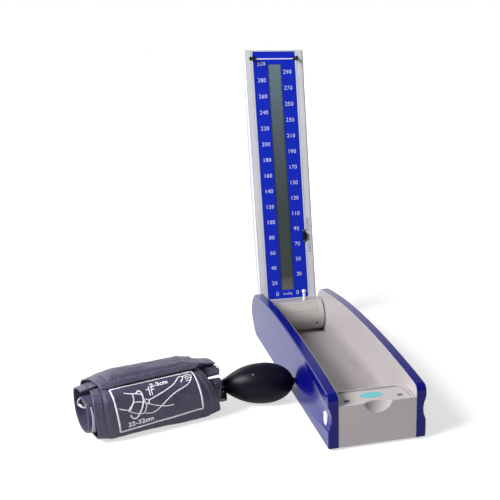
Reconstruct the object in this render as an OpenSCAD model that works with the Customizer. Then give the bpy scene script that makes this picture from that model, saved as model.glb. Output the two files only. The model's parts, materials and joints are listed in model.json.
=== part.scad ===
// Desk blood pressure gauge with a folding digital column, a storage trough,
// and a rolled arm cuff with its rubber bulb beside the case.
// Millimetres. +X right, +Y back, +Z up. The origin is on the table, at the
// middle of the front foot strip.

/* [Case] */
// Width of the grey case between the two side panels
inner_w = 78.8; // [70:0.2:90]
// Thickness of one side panel
panel_t = 10; // [9:0.5:14]
// Distance from the case front to the hinge axis
hinge_y = 341.5; // [320:0.5:380]
// Height of the hinge axis above the table
hinge_z = 25.4; // [25:0.1:30]
// Height of the side panels at their crown
crown_h = 67.2; // [64:0.2:76]
// Distance from the front to the crown of the side panels
crown_y = 195; // [150:5:230]
// How far the panel top falls from crown to front
front_drop = 10.8; // [6:0.2:12]
// How far the panel top falls from crown to hinge
rear_drop = 9; // [6:0.2:10]
// Radius of the upper front corner of a side panel
corner_r = 8; // [5:0.5:10]
// Height of the front wall of the trough
front_h = 45.2; // [44:0.1:46]
// Wall thickness of the moulded trough
wall = 1.5; // [1.3:0.1:2]
// Thickness of the trough floor
floor_t = 1.7; // [1.5:0.1:2.4]
// Depth of the latch tray behind the front wall
tray_l = 35.5; // [32:0.5:44]
// Radius of the chamfer round a side panel
edge_c = 0.9; // [0.4:0.1:1.4]

/* [Feet] */
// Height of the rubber feet below the case
foot_h = 2.2; // [1.6:0.1:3]
// Length of the front foot strip
strip_l = 46; // [30:1:60]
// Width of the front foot strip
strip_w = 7; // [5:0.5:9]
// Radius of a rear foot
foot_r = 6; // [4:0.5:8]

/* [Finger grips] */
// Depth of the thumb recess at the front edge of a side panel
grip_d = 3.3; // [2:0.1:4]
// Length of the thumb recess along the panel
grip_l = 128; // [80:2:150]
// Height of the middle of the thumb recess
grip_z = 32.5; // [30:0.5:35]
// Half width of the thumb recess at the front edge
grip_h0 = 12.6; // [10:0.1:15]
// Half width of the thumb recess at its widest
grip_h1 = 27.6; // [20:0.2:29]
// Radius of the dished scoop in the front wall
scoop_r = 15.3; // [12:0.1:18]
// Depth of the dished scoop at its upper edge
scoop_d = 5.9; // [3:0.1:6.4]

/* [Release buttons] */
// Half width of a release button
button_r = 5.5; // [4:0.1:7]
// Half length of the straight middle of a release button
button_s = 1.7; // [1:0.1:3]
// Distance from the case front to the button centre
button_y = 17.5; // [15:0.5:20]
// Height of the button centre
button_z = 27.5; // [24:0.5:32]
// Travel of a release button
button_travel = 2.4; // [1.5:0.1:2.4]

/* [Column] */
// Width of the column and of the hinge barrel
col_w = 76.4; // [68:0.2:76.6]
// Distance from the case front to the end of the folded column
col_gap = 2.8; // [2:0.1:6]
// Lean of the opened column
tilt = 9.3; // [5:0.1:12]
// Distance from the hinge axis to the front face of the column
face_d = 20.9; // [20.7:0.1:22]
// Depth of the front frame of the column
frame_t = 5; // [4:0.1:5.5]
// Width of the blue scale plate
plate_w = 54.4; // [48:0.2:56]
// Width of the display window
lcd_w = 17.6; // [14:0.2:20]
// Lower end of the display window, measured from the hinge axis
lcd_low = 31.9; // [28:0.1:36]
// Distance from the upper end of the display window to the column end
lcd_gap = 17.6; // [16.7:0.1:40]
// Gap between the folded column and the crown line of the panels
back_gap = 1.0; // [0.5:0.1:3]

/* [Hinge barrel] */
// Radius of the hinge barrel
drum_r = 19.6; // [18:0.1:19.7]
// Running gap between the barrel and the trough
drum_gap = 0.4; // [0.3:0.1:0.6]
// Wall of the barrel
drum_wall = 2; // [1.6:0.1:2.6]
// Radius of a hinge pin
pin_r = 4; // [3:0.1:5]
// Radial clearance of a hinge pin in its bearing
pin_play = 0.05; // [0.02:0.01:0.09]
// Half length of the battery cover
cover_l = 29.5; // [28:0.1:30]
// Battery radius
cell_r = 5.2; // [5:0.05:5.25]
// Battery length
cell_l = 44.5; // [40:0.5:45]

/* [Latch] */
// Distance of a latch hook from the middle of the column
hook_x = 28.1; // [26:0.1:30]
// Distance of the latch hooks from the column end
hook_gap = 10.2; // [8:0.1:14]
// Length of a latch hook
hook_l = 8.5; // [7:0.1:9]

/* [Cuff] */
// Length of the outer wrap of the rolled cuff along its axis
cuff_l = 128; // [110:1:150]
// Thickness of one padded layer of the cuff
cuff_t = 4.4; // [3:0.1:4.5]
// Rise of the roll from one layer to the next
cuff_pitch = 4.9; // [4.9:0.1:6]
// How far the inner layer stands out of the outer one at the left end
cuff_out = 8.5; // [3:0.5:12]
// How far the inner layer stands out of the outer one at the right end
cuff_out_r = 3; // [1:0.5:6]
// How far the right edge of the outer wrap draws back at the top
cuff_slant = 16; // [0:1:24]

/* [Bulb] */
// Radius of the rubber bulb
bulb_r = 21.8; // [18:0.1:25]
// Length of the rubber bulb from its neck to its tip
bulb_l = 73.2; // [60:0.1:76]
// Wall of the rubber bulb
bulb_wall = 3; // [2:0.1:4]
// Radius of the release valve body
valve_r = 4.8; // [4:0.1:5.4]

/* [Hidden] */
$fn = 64;
eps = 0.01;

base_z = foot_h;
col_l = hinge_y - col_gap;
lcd_top = col_l - lcd_gap;
hook_u = col_l - hook_gap;
floor_z = base_z + floor_t;
half_in = inner_w / 2;
tub_x = half_in - 0.6;
tongue_x = tub_x + wall;
panel_x = half_in + panel_t;
lip_t = 1.3;
// The frame origin lies this far behind the case front
foot_y = 12;
tray_t = 2;
rim_h = 1;
tray_z = front_h - rim_h;
nose_low = base_z;

// Top line of a side panel
function top_z(y) = crown_h - (y < crown_y
    ? front_drop * pow((crown_y - y) / crown_y, 2)
    : rear_drop * pow((y - crown_y) / (hinge_y - crown_y), 2));

nose_top = top_z(hinge_y);
nose_r = (nose_top - nose_low) / 2;
nose_z = (nose_top + nose_low) / 2;
nose_p = 1.5;
function nose_y(a, r) = hinge_y + r * pow(abs(cos(a)), 2 / nose_p);
function nose_h(a, r) = nose_z + r * sign(a) * pow(abs(sin(a)), 2 / nose_p);

// Side outline of the case, drawn g inside the true one
function case_outline(g) = concat(
    [[g, base_z + g + 1], [g + 1, base_z + g]],
    [for (k = [0:18]) let (a = -90 + 10 * k) [nose_y(a, nose_r - g), nose_h(a, nose_r - g)]],
    [for (k = [1:26]) let (y = hinge_y - (hinge_y - corner_r) * k / 26) [y, top_z(y) - g]],
    [for (k = [1:6]) let (a = 90 + 15 * k) [corner_r + (corner_r - g) * cos(a),
        top_z(corner_r) - corner_r + (corner_r - g) * sin(a)]]);

// Sizes of the column that follow from the case
half_col = col_w / 2;
flat_u = drum_r;
frame_low = flat_u + 0.4;
part_w = face_d + frame_t;
tail_a = 14;

// Back line of the column: it follows the panel tops when the column is folded
function back_w(u) = top_z(hinge_y - u) - hinge_z - back_gap;
function tail_w(a) = nose_y(a, nose_r - back_gap - 0.4) - hinge_y;
function tail_u(a) = nose_h(a, nose_r - back_gap - 0.4) - hinge_z;
col_corner = min(6, back_w(col_l - 6) - part_w - 0.2);
end_w = back_w(col_l - col_corner) - col_corner;

// Back half of the column's side outline in its own frame (w back, u up)
function shell_outline(g) = concat(
    [[part_w, -part_w * tan(tail_a)], [part_w, col_l - g]],
    [for (k = [0:5]) let (a = 90 - 18 * k) [end_w + (col_corner - g) * cos(a),
        col_l - col_corner + (col_corner - g) * sin(a)]],
    [for (k = [1:24]) let (u = (col_l - col_corner) * (1 - k / 24)) [back_w(u) - g, u]],
    [for (a = [78, 70]) [tail_u(a) - g, -tail_w(a)]]);

// Latch sizes
slot_y = hinge_y - hook_u;
prong_t = 2.6;
prong_h = 3.2;
tooth_w = 1.9;
slot_play = 0.7;
slide_top = tray_z - tray_t - 0.3;
slide_t = 1.5;
slide_in = hook_x - prong_t / 2 - tooth_w - 0.5;
slide_out = tub_x - 2.8 - button_travel;

// Switch sizes
knob_x = 27.3;
knob_u = 101.3;
knob_w = 5;
knob_l = 8.4;
knob_travel = 4;

// Battery bay: the cover spans this arc of the barrel, measured from its top
cover_a0 = 35.7;
cover_a1 = 69.3;
cover_mid = (cover_a0 + cover_a1) / 2;
cover_gap = 0.2;
cell_out = drum_r - drum_wall - cell_r - 0.4;
cell2_step = 2 * cell_r + 0.4;

// Cuff: where the right end of its roll lies, beside the bulb, and how it is turned
cuff_turn = 14.6;
cuff_end_x = -127.23;
cuff_end_y = 105.52;
cuff_x = cuff_end_x - (cuff_l + cuff_out_r) * cos(cuff_turn);
cuff_y = cuff_end_y - (cuff_l + cuff_out_r) * sin(cuff_turn);
roll_a = [32, 37.5];
roll_b = [29.8, 27.5];
roll_p = 2.4;
// The flap ends at roll_start, over the front. The roll goes from there over
// the top, down the back and round, and has its named size roll_front on.
roll_start = 118;
roll_front = 236;
wrap_a = 372;
inner_a = 320;
wrap_step = 6;
function mix(v, s) = v[0] + (v[1] - v[0]) * s / cuff_l;
function up_share(phi) = pow((1 + sin(phi)) / 2, 1.3);
function spow(v, p) = sign(v) * pow(abs(v), p);
function roll_shrink(phi) = cuff_pitch * (roll_start - phi - roll_front) / 360;
function roll_h0(s) = mix(roll_b, s) - roll_shrink(-90);
function roll_d0(s) = mix(roll_a, s);
function roll_pt(s, phi, t) = [s,
    roll_d0(s) + (mix(roll_a, s) - roll_shrink(phi) - t) * spow(cos(phi), 2 / roll_p),
    roll_h0(s) + (mix(roll_b, s) - roll_shrink(phi) - t) * spow(sin(phi), 2 / roll_p)];

// Bulb: its axis runs from the cuff end towards the left side panel
bulb_x = -82.2;
bulb_y = 134.9;
bulb_turn = -9;
tip_r = 4.5;
neck_r = 7.4;
neck_l = 1.5;
valve_l = 15;
knurl_r = 6;
knurl_l = 7.5;
knob_dir = 50;

module yz(x0, x1) {
    translate([x0, 0, 0]) rotate([90, 0, 90]) linear_extrude(x1 - x0) children();
}
module xrod(r, x0, x1) {
    translate([x0, 0, 0]) rotate([0, 90, 0]) cylinder(r = r, h = x1 - x0);
}
module box(x0, x1, y0, y1, z0, z1) {
    translate([x0, y0, z0]) cube([x1 - x0, y1 - y0, z1 - z0]);
}
module stadium(r, c) {
    translate([0, c]) circle(r);
    translate([0, -c]) circle(r);
    square([2 * r, 2 * c], center = true);
}
module strip_shape() {
    for (s = [-1, 1]) translate([s * (strip_l - strip_w) / 2, 0]) circle(strip_w / 2);
    square([strip_l - strip_w, strip_w], center = true);
}
module place() {
    translate([0, -foot_y, 0]) children();
}
module on_column() {
    translate([0, hinge_y, hinge_z]) rotate([-tilt, 0, 0]) children();
}
module at_button() {
    translate([0, button_y, button_z]) children();
}
module on_cuff() {
    translate([cuff_x, cuff_y, 0]) rotate([0, 0, cuff_turn]) children();
}
module on_bulb() {
    translate([bulb_x, bulb_y, bulb_r]) rotate([0, 0, bulb_turn]) rotate([0, 90, 0]) children();
}

// Ball that dishes the front wall
scoop_top = tray_z + 5.2;
scoop_ball = (scoop_r * scoop_r + scoop_d * scoop_d) / (2 * scoop_d);
module scoop(extra) {
    translate([0, scoop_d - scoop_ball, scoop_top]) sphere(r = scoop_ball + extra, $fn = 96);
}

// Raised bead round the latch tray, with large corners at the back
bead_w = 1.6;
bead_x = tub_x - 1.2;
bead_y0 = 2.6;
bead_r = 11;
module tray_shape(g) {
    translate([-bead_x + g, bead_y0 + g]) square([2 * (bead_x - g), tray_l - bead_y0 - g - bead_r]);
    for (s = [-1, 1]) translate([s * (bead_x - bead_r), tray_l - bead_r]) circle(bead_r - g);
    translate([-bead_x + bead_r, bead_y0 + g]) square([2 * (bead_x - bead_r), tray_l - bead_y0 - 2 * g]);
}

// Foot and screw places under the case
rear_foot_x = half_in - foot_r - 3;
rear_foot_y = [tray_l + 12, hinge_y - 45];
cover_x = 33;
cover_y0 = 20;
cover_y1 = tray_l - wall - 3;
screw_r = 2.6;
post_x = slide_in + 2;
post_y1 = cover_y0 + 3.4;
cover_screw_y = post_y1 + 1.5 + 0.7;
spring_r = 3;
spring_z = button_z + 6.5;
spring_x0 = post_x + 2;
spring_x1 = slide_out - 0.2;

module slide_guide() {
    for (y = [slide_y0 - 1.6, slide_y1 + 0.2]) {
        box(slide_in + 3, slide_out - 3, y, y + 1.4, slide_top - slide_t - 1.5, tray_z - tray_t + eps);
    }
    for (y = [slide_y0 - 1.6, slide_y1 - 0.8]) {
        box(slide_in + 3, slide_out - 3, y, y + 2.4, slide_top - slide_t - 1.5, slide_top - slide_t - 0.2);
    }
}
slide_y0 = slot_y - prong_h / 2 - slot_play - 2;
slide_y1 = button_y + 4;

// Side view of the hollows: the latch space, the space over the tray and the
// trough, and the swing space of the barrel and of the column's tail
module hollow_outline() {
    a = tilt + tail_a + 0.3;
    translate([wall + 0.6, floor_z]) square([tray_l - 2 * wall - 0.6, tray_z - tray_t - floor_z]);
    translate([-1, tray_z]) square([hinge_y, crown_h]);
    translate([tray_l, floor_z]) square([hinge_y - tray_l, crown_h]);
    translate([hinge_y, hinge_z]) {
        circle(drum_r + drum_gap, $fn = 96);
        polygon([[-1, 0], [0, 0], [90 * cos(a), -90 * sin(a)], [90, 90], [-1, 90]]);
    }
}
module case_tub() {
    color("gainsboro") place() difference() {
        union() {
            difference() {
                union() {
                    yz(-half_in, half_in) polygon(case_outline(0.2));
                    yz(-tongue_x, tongue_x) polygon(case_outline(lip_t));
                }
                yz(-tub_x, tub_x) hollow_outline();
            }
            // Front rim, the bulge behind the scoop, and the tray bead
            box(-tub_x, tub_x, 0.2, bead_y0 + 0.6, tray_z - eps, front_h);
            intersection() {
                scoop(1.8);
                box(-tub_x, tub_x, 1, tray_l - wall, base_z + 8, front_h);
            }
            translate([0, 0, tray_z - eps]) linear_extrude(rim_h + eps) difference() {
                tray_shape(0);
                tray_shape(bead_w);
            }
            // Guides for the two latch slides
            slide_guide();
            mirror([1, 0, 0]) slide_guide();
        }
        scoop(0);
        // Latch slots
        for (s = [-1, 1]) translate([s * (hook_x - tooth_w / 2), slot_y, 0])
            box(-(prong_t + tooth_w) / 2 - slot_play, (prong_t + tooth_w) / 2 + slot_play,
                -prong_h / 2 - slot_play, prong_h / 2 + slot_play, tray_z - tray_t - 1, tray_z + 1);
        // Inlay pocket
        translate([0, inlay_y, tray_z - inlay_t]) linear_extrude(inlay_t + 1) inlay_shape(0.1);
        // Stem holes of the release buttons and hinge pin holes
        at_button() xrod(stem_r + 0.3, -half_in - 5, half_in + 5);
        translate([0, hinge_y, hinge_z]) xrod(pin_r + 0.02, -half_in - 5, half_in + 5);
        // Opening of the bottom cover
        box(-cover_x, cover_x, cover_y0, cover_y1, base_z - 1, floor_z + 1);
        // Foot recesses
        translate([0, foot_y, base_z - 1]) linear_extrude(1 + foot_seat) strip_shape();
        for (s = [-1, 1], y = rear_foot_y) translate([s * rear_foot_x, y, base_z - 1])
            cylinder(r = foot_r, h = 1 + foot_seat);
    }
}
foot_seat = 0.8;
stem_r = 3.4;

// Oval inlay drawn from arcs: two small ends and two long sides
inlay_t = 0.6;
inlay_y = 20.5;
inlay_a = 11.6;
inlay_b = 6.4;
module inlay_shape(g) {
    polygon([for (k = [0:47]) [(inlay_a + g) * cos(7.5 * k), (inlay_b + g) * sin(7.5 * k)]]);
}
module tray_inlay() {
    color("turquoise") place() translate([0, inlay_y, tray_z - inlay_t])
        linear_extrude(inlay_t + 0.15) inlay_shape(0);
}

// Thumb recess: a dished surface that runs out towards the back, with straight
// diverging sides and a rounded far end
grip_end = 26;
function grip_dep(y) = grip_d * (1 - y / grip_l);
function grip_half(y) = grip_h0 + (grip_h1 - grip_h0) * y / (grip_l - grip_end);
function grip_curve(y) = y < grip_l - grip_end
    ? grip_dep(y) / pow(grip_half(y), 2)
    : grip_d / grip_l * grip_end * grip_end
        / (pow(grip_half(y), 2) * (2 * grip_end - (grip_l - y)));
function grip_x(y, z) = panel_x - grip_dep(y) + grip_curve(y) * z * z;
module thumb_recess() {
    ny = 16;
    nz = 14;
    span = 40;
    row = nz + 3;
    pts = [for (i = [0:ny]) let (y = -1 + (grip_l + 2) * i / ny) each concat(
        [for (k = [0:nz]) let (q = 2 * k / nz - 1, z = span * q) [grip_x(min(y, grip_l), z), y, grip_z + z]],
        [[panel_x + 40, y, grip_z + span], [panel_x + 40, y, grip_z - span]])];
    sides = [for (i = [0:ny - 1], k = [0:row - 1]) let (a = i * row + k, b = i * row + (k + 1) % row)
        each [[a, b + row, b], [a, a + row, b + row]]];
    ends = [[for (k = [0:row - 1]) k], [for (k = [row - 1:-1:0]) ny * row + k]];
    polyhedron(points = pts, faces = concat(sides, ends), convexity = 6);
}
rib_y = [105, 160, 215, 270];
module side_panel() {
    difference() {
        hull() {
            yz(half_in, panel_x - edge_c) polygon(case_outline(0));
            yz(panel_x - eps, panel_x) polygon(case_outline(edge_c));
        }
        yz(half_in - 1, tongue_x + 0.05) polygon(case_outline(lip_t - 0.05));
        // Lightening pockets between the ribs
        for (y = rib_y) intersection() {
            yz(half_in, panel_x - 2.6) polygon(case_outline(4));
            box(half_in, panel_x, y, y + 51, base_z, crown_h);
        }
        thumb_recess();
        at_button() {
            yz(half_in, panel_x + 9) stadium(button_r + 0.2, button_s);
            yz(half_in, flange_x + 0.05) stadium(button_r + flange_w + 0.25, button_s);
        }
        translate([0, hinge_y, hinge_z]) xrod(pin_r + 0.02, half_in - 1, pin_end);
    }
}
pin_end = panel_x - 3.4;
flange_w = 1.2;
flange_t = 1.2;
flange_x = tongue_x + 0.1 + button_travel + flange_t;
button_out = panel_x - grip_dep(button_y) + 1.4;
module right_side_panel() { color("midnightblue") place() side_panel(); }
module left_side_panel() { color("midnightblue") place() mirror([1, 0, 0]) side_panel(); }

module front_foot() {
    color("dimgray") place() translate([0, foot_y, 0])
        linear_extrude(base_z + foot_seat) strip_shape();
}
module rear_feet() {
    color("dimgray") place() for (s = [-1, 1], y = rear_foot_y) translate([s * rear_foot_x, y, 0])
        cylinder(r = foot_r, h = base_z + foot_seat);
}
module bottom_cover() {
    color("lightgray") place() difference() {
        union() {
            box(-cover_x + 0.2, cover_x - 0.2, cover_y0 + 0.2, cover_y1 - 0.2, base_z + 0.2, floor_z);
            // Posts that back the button springs
            for (s = [-1, 1]) translate([s * (post_x + 1), 0, 0])
                box(-1, 1, cover_y0 + 0.4, post_y1, floor_z - eps, spring_z + spring_r);
            for (s = [-1, 1]) translate([s * (post_x + 1), 0, 0])
                box(-1, 1, button_y - spring_r, post_y1, spring_z - spring_r, spring_z + spring_r);
        }
        for (s = [-1, 1]) translate([s * (cover_x - 6), cover_screw_y, 0]) {
            translate([0, 0, base_z]) cylinder(r = screw_r + 0.2, h = 1.2);
            cylinder(r = 1.6, h = 2 * floor_z);
        }
    }
}
module cover_screws() {
    color("silver") place() for (s = [-1, 1]) translate([s * (cover_x - 6), cover_screw_y, base_z + 0.2])
        difference() {
            union() {
                cylinder(r = screw_r, h = 1);
                cylinder(r = 1.5, h = 7);
            }
            for (a = [0, 90]) rotate([0, 0, a]) box(-1.6, 1.6, -0.35, 0.35, -1, 0.6);
        }
}
module hinge_pins() {
    color("silver") place() translate([0, hinge_y, hinge_z]) for (s = [-1, 1]) scale([s, 1, 1])
        xrod(pin_r, cap_in + 0.6, pin_end - 0.1);
}

module release_button() {
    at_button() {
        difference() {
            yz(flange_x - flange_t, button_out) stadium(button_r, button_s);
            translate([button_out + 58, 0, 0]) sphere(r = 58.6, $fn = 96);
        }
        yz(flange_x - flange_t, flange_x) stadium(button_r + flange_w, button_s);
        xrod(stem_r, slide_out + 2, flange_x);
    }
}
module right_release_button() { color("white") place() release_button(); }
module left_release_button() { color("white") place() mirror([1, 0, 0]) release_button(); }

window_out = hook_x + prong_t / 2 + 0.4 + button_travel;
window_in = hook_x - prong_t / 2 - tooth_w - 0.3;
module latch_slide() {
    difference() {
        box(window_in - 3, slide_out + 2, slide_y0, slide_y1, slide_top - slide_t, slide_top);
        box(window_in, window_out, slot_y - prong_h / 2 - slot_play, slot_y + prong_h / 2 + slot_play,
            slide_top - slide_t - 1, slide_top + 1);
    }
    box(slide_out, slide_out + 2, button_y - 4, slide_y1, button_z - 5, slide_top - eps);
}
module right_latch_slide() { color("lightgray") place() latch_slide(); }
module left_latch_slide() { color("lightgray") place() mirror([1, 0, 0]) latch_slide(); }
module button_spring() {
    translate([0, button_y, spring_z]) difference() {
        xrod(spring_r, spring_x0 + 0.2, spring_x1);
        xrod(spring_r - 0.6, spring_x0 - 1, spring_x1 + 1);
    }
}
module right_button_spring() { color("silver") place() button_spring(); }
module left_button_spring() { color("silver") place() mirror([1, 0, 0]) button_spring(); }

// Everything below rides on the column frame: y is depth w, z is height u
module barrel_section(r, w) {
    circle(r, $fn = 96);
    square([w, r]);
}
module barrel_space(gap) {
    yz(-half_col - 1, half_col + 1) {
        circle(drum_r + gap, $fn = 96);
        translate([0, -0]) square([face_d, drum_r + gap]);
    }
}
module column_back_shell() {
    color("lightgray") place() on_column() difference() {
        union() {
            hull() {
                yz(-half_col, half_col) polygon(shell_outline(2.5));
                yz(-half_col + 3, half_col - 3) polygon(shell_outline(0));
            }
            // Tail that carries the column on the back of the barrel
            yz(-half_col, half_col) polygon([[face_d, frame_low], [part_w + 1, frame_low],
                [part_w + 1, -(part_w + 1) * tan(tail_a)], [drum_r * cos(tail_a), -drum_r * sin(tail_a)]]);
        }
        barrel_space(0.05);
        // Room for the board and the display
        yz(-half_col + 2.2, half_col - 2.2) intersection() {
            polygon(shell_outline(2.4));
            translate([part_w - 1, frame_low + 3]) square([60, col_l - frame_low - 9]);
        }
        for (s = [-1, 1], u = screw_u) translate([s * screw_x, 0, u]) rotate([-90, 0, 0]) {
            translate([0, 0, back_w(u) - 1.6]) cylinder(r = screw_r + 0.3, h = 20);
            cylinder(r = 1.6, h = 60);
        }
    }
}
screw_x = half_col - 8;
screw_u = [52, col_l - 38.7];
module column_screws() {
    color("dimgray") place() on_column() for (s = [-1, 1], u = screw_u) translate([s * screw_x, 0, u])
        rotate([-90, 0, 0]) difference() {
            union() {
                translate([0, 0, back_w(u) - 1.6]) cylinder(r = screw_r, h = 1.1);
                translate([0, 0, back_w(u) - 8]) cylinder(r = 1.5, h = 7);
            }
            for (a = [0, 90]) rotate([0, 0, a]) translate([0, 0, back_w(u) - 1.1]) box(-1.6, 1.6, -0.35, 0.35, 0, 2);
        }
}

plate_t = 1.2;
plate_sink = 0.3;
plate_low = frame_low + 0.6;
plate_top = col_l - 1.8;
module frame_section() {
    r = 2.2;
    translate([-half_col + r, face_d]) square([col_w - 2 * r, frame_t]);
    translate([-half_col, face_d + r]) square([col_w, frame_t - r]);
    for (s = [-1, 1]) translate([s * (half_col - r), face_d + r]) circle(r);
}
module switch_slot(g) {
    box(knob_x - knob_w / 2 - g, knob_x + knob_w / 2 + g, face_d - 2, part_w + 4,
        knob_u - knob_l / 2 - knob_travel - g, knob_u + knob_l / 2 + knob_travel + g);
}
module column_frame() {
    color("gainsboro") place() on_column() difference() {
        intersection() {
            translate([0, 0, frame_low]) linear_extrude(col_l - frame_low) frame_section();
            yz(-half_col - 1, half_col + 1) polygon([[face_d - 1, frame_low - 1], [part_w + 1, frame_low - 1],
                [part_w + 1, col_l + 1], [face_d - 1, col_l + 1]]);
        }
        // Seat of the scale plate
        box(-plate_w / 2 - 0.1, plate_w / 2 + 0.1, face_d - 1, face_d + plate_sink + plate_t + 0.05,
            plate_low - 0.1, plate_top + 0.1);
        // Room for the display behind it
        box(-module_w / 2 - 0.2, module_w / 2 + 0.2, face_d, part_w + 1, lcd_low - 5.2, lcd_top + 5.2);
        // Grooves that set off the two rails
        for (s = [-1, 1]) translate([s * (plate_w / 2 + 2.2), 0, 0])
            box(-0.25, 0.25, face_d - 1, face_d + 0.35, frame_low - 1, col_l + 1);
        switch_slot(0.25);
        for (s = [-1, 1]) hook_place(s) box(-hook_base_w / 2 - 0.1, hook_base_w / 2 + 0.1, -0.2, 3.6,
            -hook_base_h / 2 - 0.1, hook_base_h / 2 + 0.1);
        for (s = [-1, 1], u = screw_u) translate([s * screw_x, part_w - 3.4, u]) rotate([-90, 0, 0])
            cylinder(r = 1.6, h = 9);
    }
}
module_w = 26;
module scale_plate() {
    color("mediumblue") place() on_column() difference() {
        box(-plate_w / 2, plate_w / 2, face_d + plate_sink, face_d + plate_sink + plate_t, plate_low, plate_top);
        box(-lcd_w / 2, lcd_w / 2, face_d - 1, part_w, lcd_low, lcd_top);
        switch_slot(0.25);
        for (s = [-1, 1]) hook_place(s) box(-hook_base_w / 2 - 0.1, hook_base_w / 2 + 0.1, -0.2, 3.6,
            -hook_base_h / 2 - 0.1, hook_base_h / 2 + 0.1);
    }
}
module display_glass() {
    color("slategray") place() on_column()
        box(-lcd_w / 2 + 0.05, lcd_w / 2 - 0.05, face_d + plate_sink + 0.2, face_d + plate_sink + plate_t,
            lcd_low + 0.05, lcd_top - 0.05);
}
module display_module() {
    color("darkslategray") place() on_column()
        box(-module_w / 2, module_w / 2, face_d + plate_sink + plate_t, part_w + 0.6, lcd_low - 5, lcd_top + 5);
}
board_w = 40;
lcd_mid = (lcd_low + lcd_top) / 2;
module display_board() {
    color("seagreen") place() on_column() difference() {
        union() {
            box(-board_w / 2, board_w / 2, part_w + 0.6, part_w + 2.2, lcd_low - 5, lcd_top - 4);
            box(-6, 6, part_w + 2.2 - eps, part_w + 3.8, lcd_low + 60, lcd_low + 72);
            box(-5, 5, part_w + 2.2 - eps, part_w + 4.2, lcd_mid - 8, lcd_mid + 8);
            translate([0, part_w + 2.2 - eps, lcd_low + 25]) rotate([-90, 0, 0]) cylinder(r = 7, h = 4);
        }
        switch_slot(1.2);
    }
}

hook_base_w = 6.8;
hook_base_h = 3.6;
module hook_place(s) {
    translate([s * hook_x, face_d, hook_u]) children();
}
// A barbed hook: the tooth points to the middle of the column
module latch_hook() {
    hook_place(1) {
        yz(-hook_base_w / 2, hook_base_w / 2) square([1.0, hook_base_h], center = true);
        box(-hook_base_w / 2, hook_base_w / 2, -1, 3.5, -hook_base_h / 2, hook_base_h / 2);
        translate([0, 0, -prong_h / 2]) linear_extrude(prong_h) polygon([
            [prong_t / 2, 0], [prong_t / 2, -hook_l + 0.8], [prong_t / 2 - 0.8, -hook_l],
            [-prong_t / 2, -hook_l], [-prong_t / 2 - tooth_w, -hook_l + 1.8],
            [-prong_t / 2 - tooth_w, -hook_l + 2.3], [-prong_t / 2, -hook_l + 2.3], [-prong_t / 2, 0]]);
    }
}
module right_latch_hook() { color("black") place() on_column() latch_hook(); }
module left_latch_hook() { color("black") place() on_column() mirror([1, 0, 0]) latch_hook(); }

module switch_body() {
    color("dimgray") place() on_column() difference() {
        box(knob_x - knob_w / 2 - 1, knob_x + knob_w / 2 + 1, part_w + 0.05, part_w + 5,
            knob_u - knob_l / 2 - knob_travel - 1, knob_u + knob_l / 2 + knob_travel + 1);
        box(knob_x - 1.5, knob_x + 1.5, part_w - 1, part_w + 3.4, knob_u - knob_travel - 1.8, knob_u + knob_travel + 1.8);
    }
}
module switch_knob() {
    color("black") place() on_column() {
        difference() {
            box(knob_x - knob_w / 2, knob_x + knob_w / 2, face_d - 2.6, part_w - 0.3,
                knob_u - knob_l / 2, knob_u + knob_l / 2);
            for (k = [-2:2]) box(knob_x - knob_w, knob_x + knob_w, face_d - 3, face_d - 2.1,
                knob_u + 1.5 * k - 0.35, knob_u + 1.5 * k + 0.35);
        }
        box(knob_x - 1.2, knob_x + 1.2, part_w - 0.4, part_w + 3.1, knob_u - 1.5, knob_u + 1.5);
    }
}

// Wedge of the barrel between two angles from its top towards the front
module front_wedge(a0, a1, x0, x1) {
    r = 3 * drum_r;
    yz(x0, x1) polygon([[0, 0], [-r * sin(a0), r * cos(a0)],
        [-r * 1.2 * sin((a0 + a1) / 2), r * 1.2 * cos((a0 + a1) / 2)], [-r * sin(a1), r * cos(a1)]]);
}
cap_t = 2;
cap_in = half_col - cap_t - 6;
module hinge_barrel() {
    color("gainsboro") place() on_column() difference() {
        yz(-half_col + cap_t, half_col - cap_t) barrel_section(drum_r, face_d);
        yz(-half_col, half_col) {
            circle(drum_r - drum_wall, $fn = 96);
            translate([0, -0]) square([face_d - drum_wall, drum_r - drum_wall]);
        }
        // Mouth of the battery bay
        front_wedge(cover_a0, cover_a1, -cover_l, cover_l);
        // Small round hole low on the right of the barrel
        rotate([cover_a1 + 50.5, 0, 0]) translate([cover_l - 1.6, 0, 0]) cylinder(r = 1.5, h = 2 * drum_r);
        // Seat of the nozzle
        translate([nozzle_x, 0, 0]) cylinder(r = nozzle_r + 0.05, h = 2 * drum_r);
    }
}
module barrel_cap() {
    difference() {
        union() {
            yz(half_col - cap_t, half_col - 0.8) barrel_section(drum_r, face_d);
            yz(half_col - 0.9, half_col) barrel_section(drum_r - 0.8, face_d - 0.8);
            xrod(pin_r + 3, cap_in, half_col - cap_t + eps);
        }
        xrod(pin_r + pin_play, cap_in - 1, half_col + 1);
    }
}
module right_barrel_cap() { color("lightgray") place() on_column() barrel_cap(); }
module left_barrel_cap() { color("lightgray") place() on_column() mirror([1, 0, 0]) barrel_cap(); }
module battery_cover() {
    g = cover_gap * 180 / (PI * drum_r);
    color("gainsboro") place() on_column() intersection() {
        difference() {
            xrod(drum_r, -cover_l + cover_gap, cover_l - cover_gap, $fn = 96);
            xrod(drum_r - drum_wall + 0.1, -half_col, half_col, $fn = 96);
        }
        front_wedge(cover_a0 + g, cover_a1 - g, -half_col, half_col);
    }
}

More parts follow.
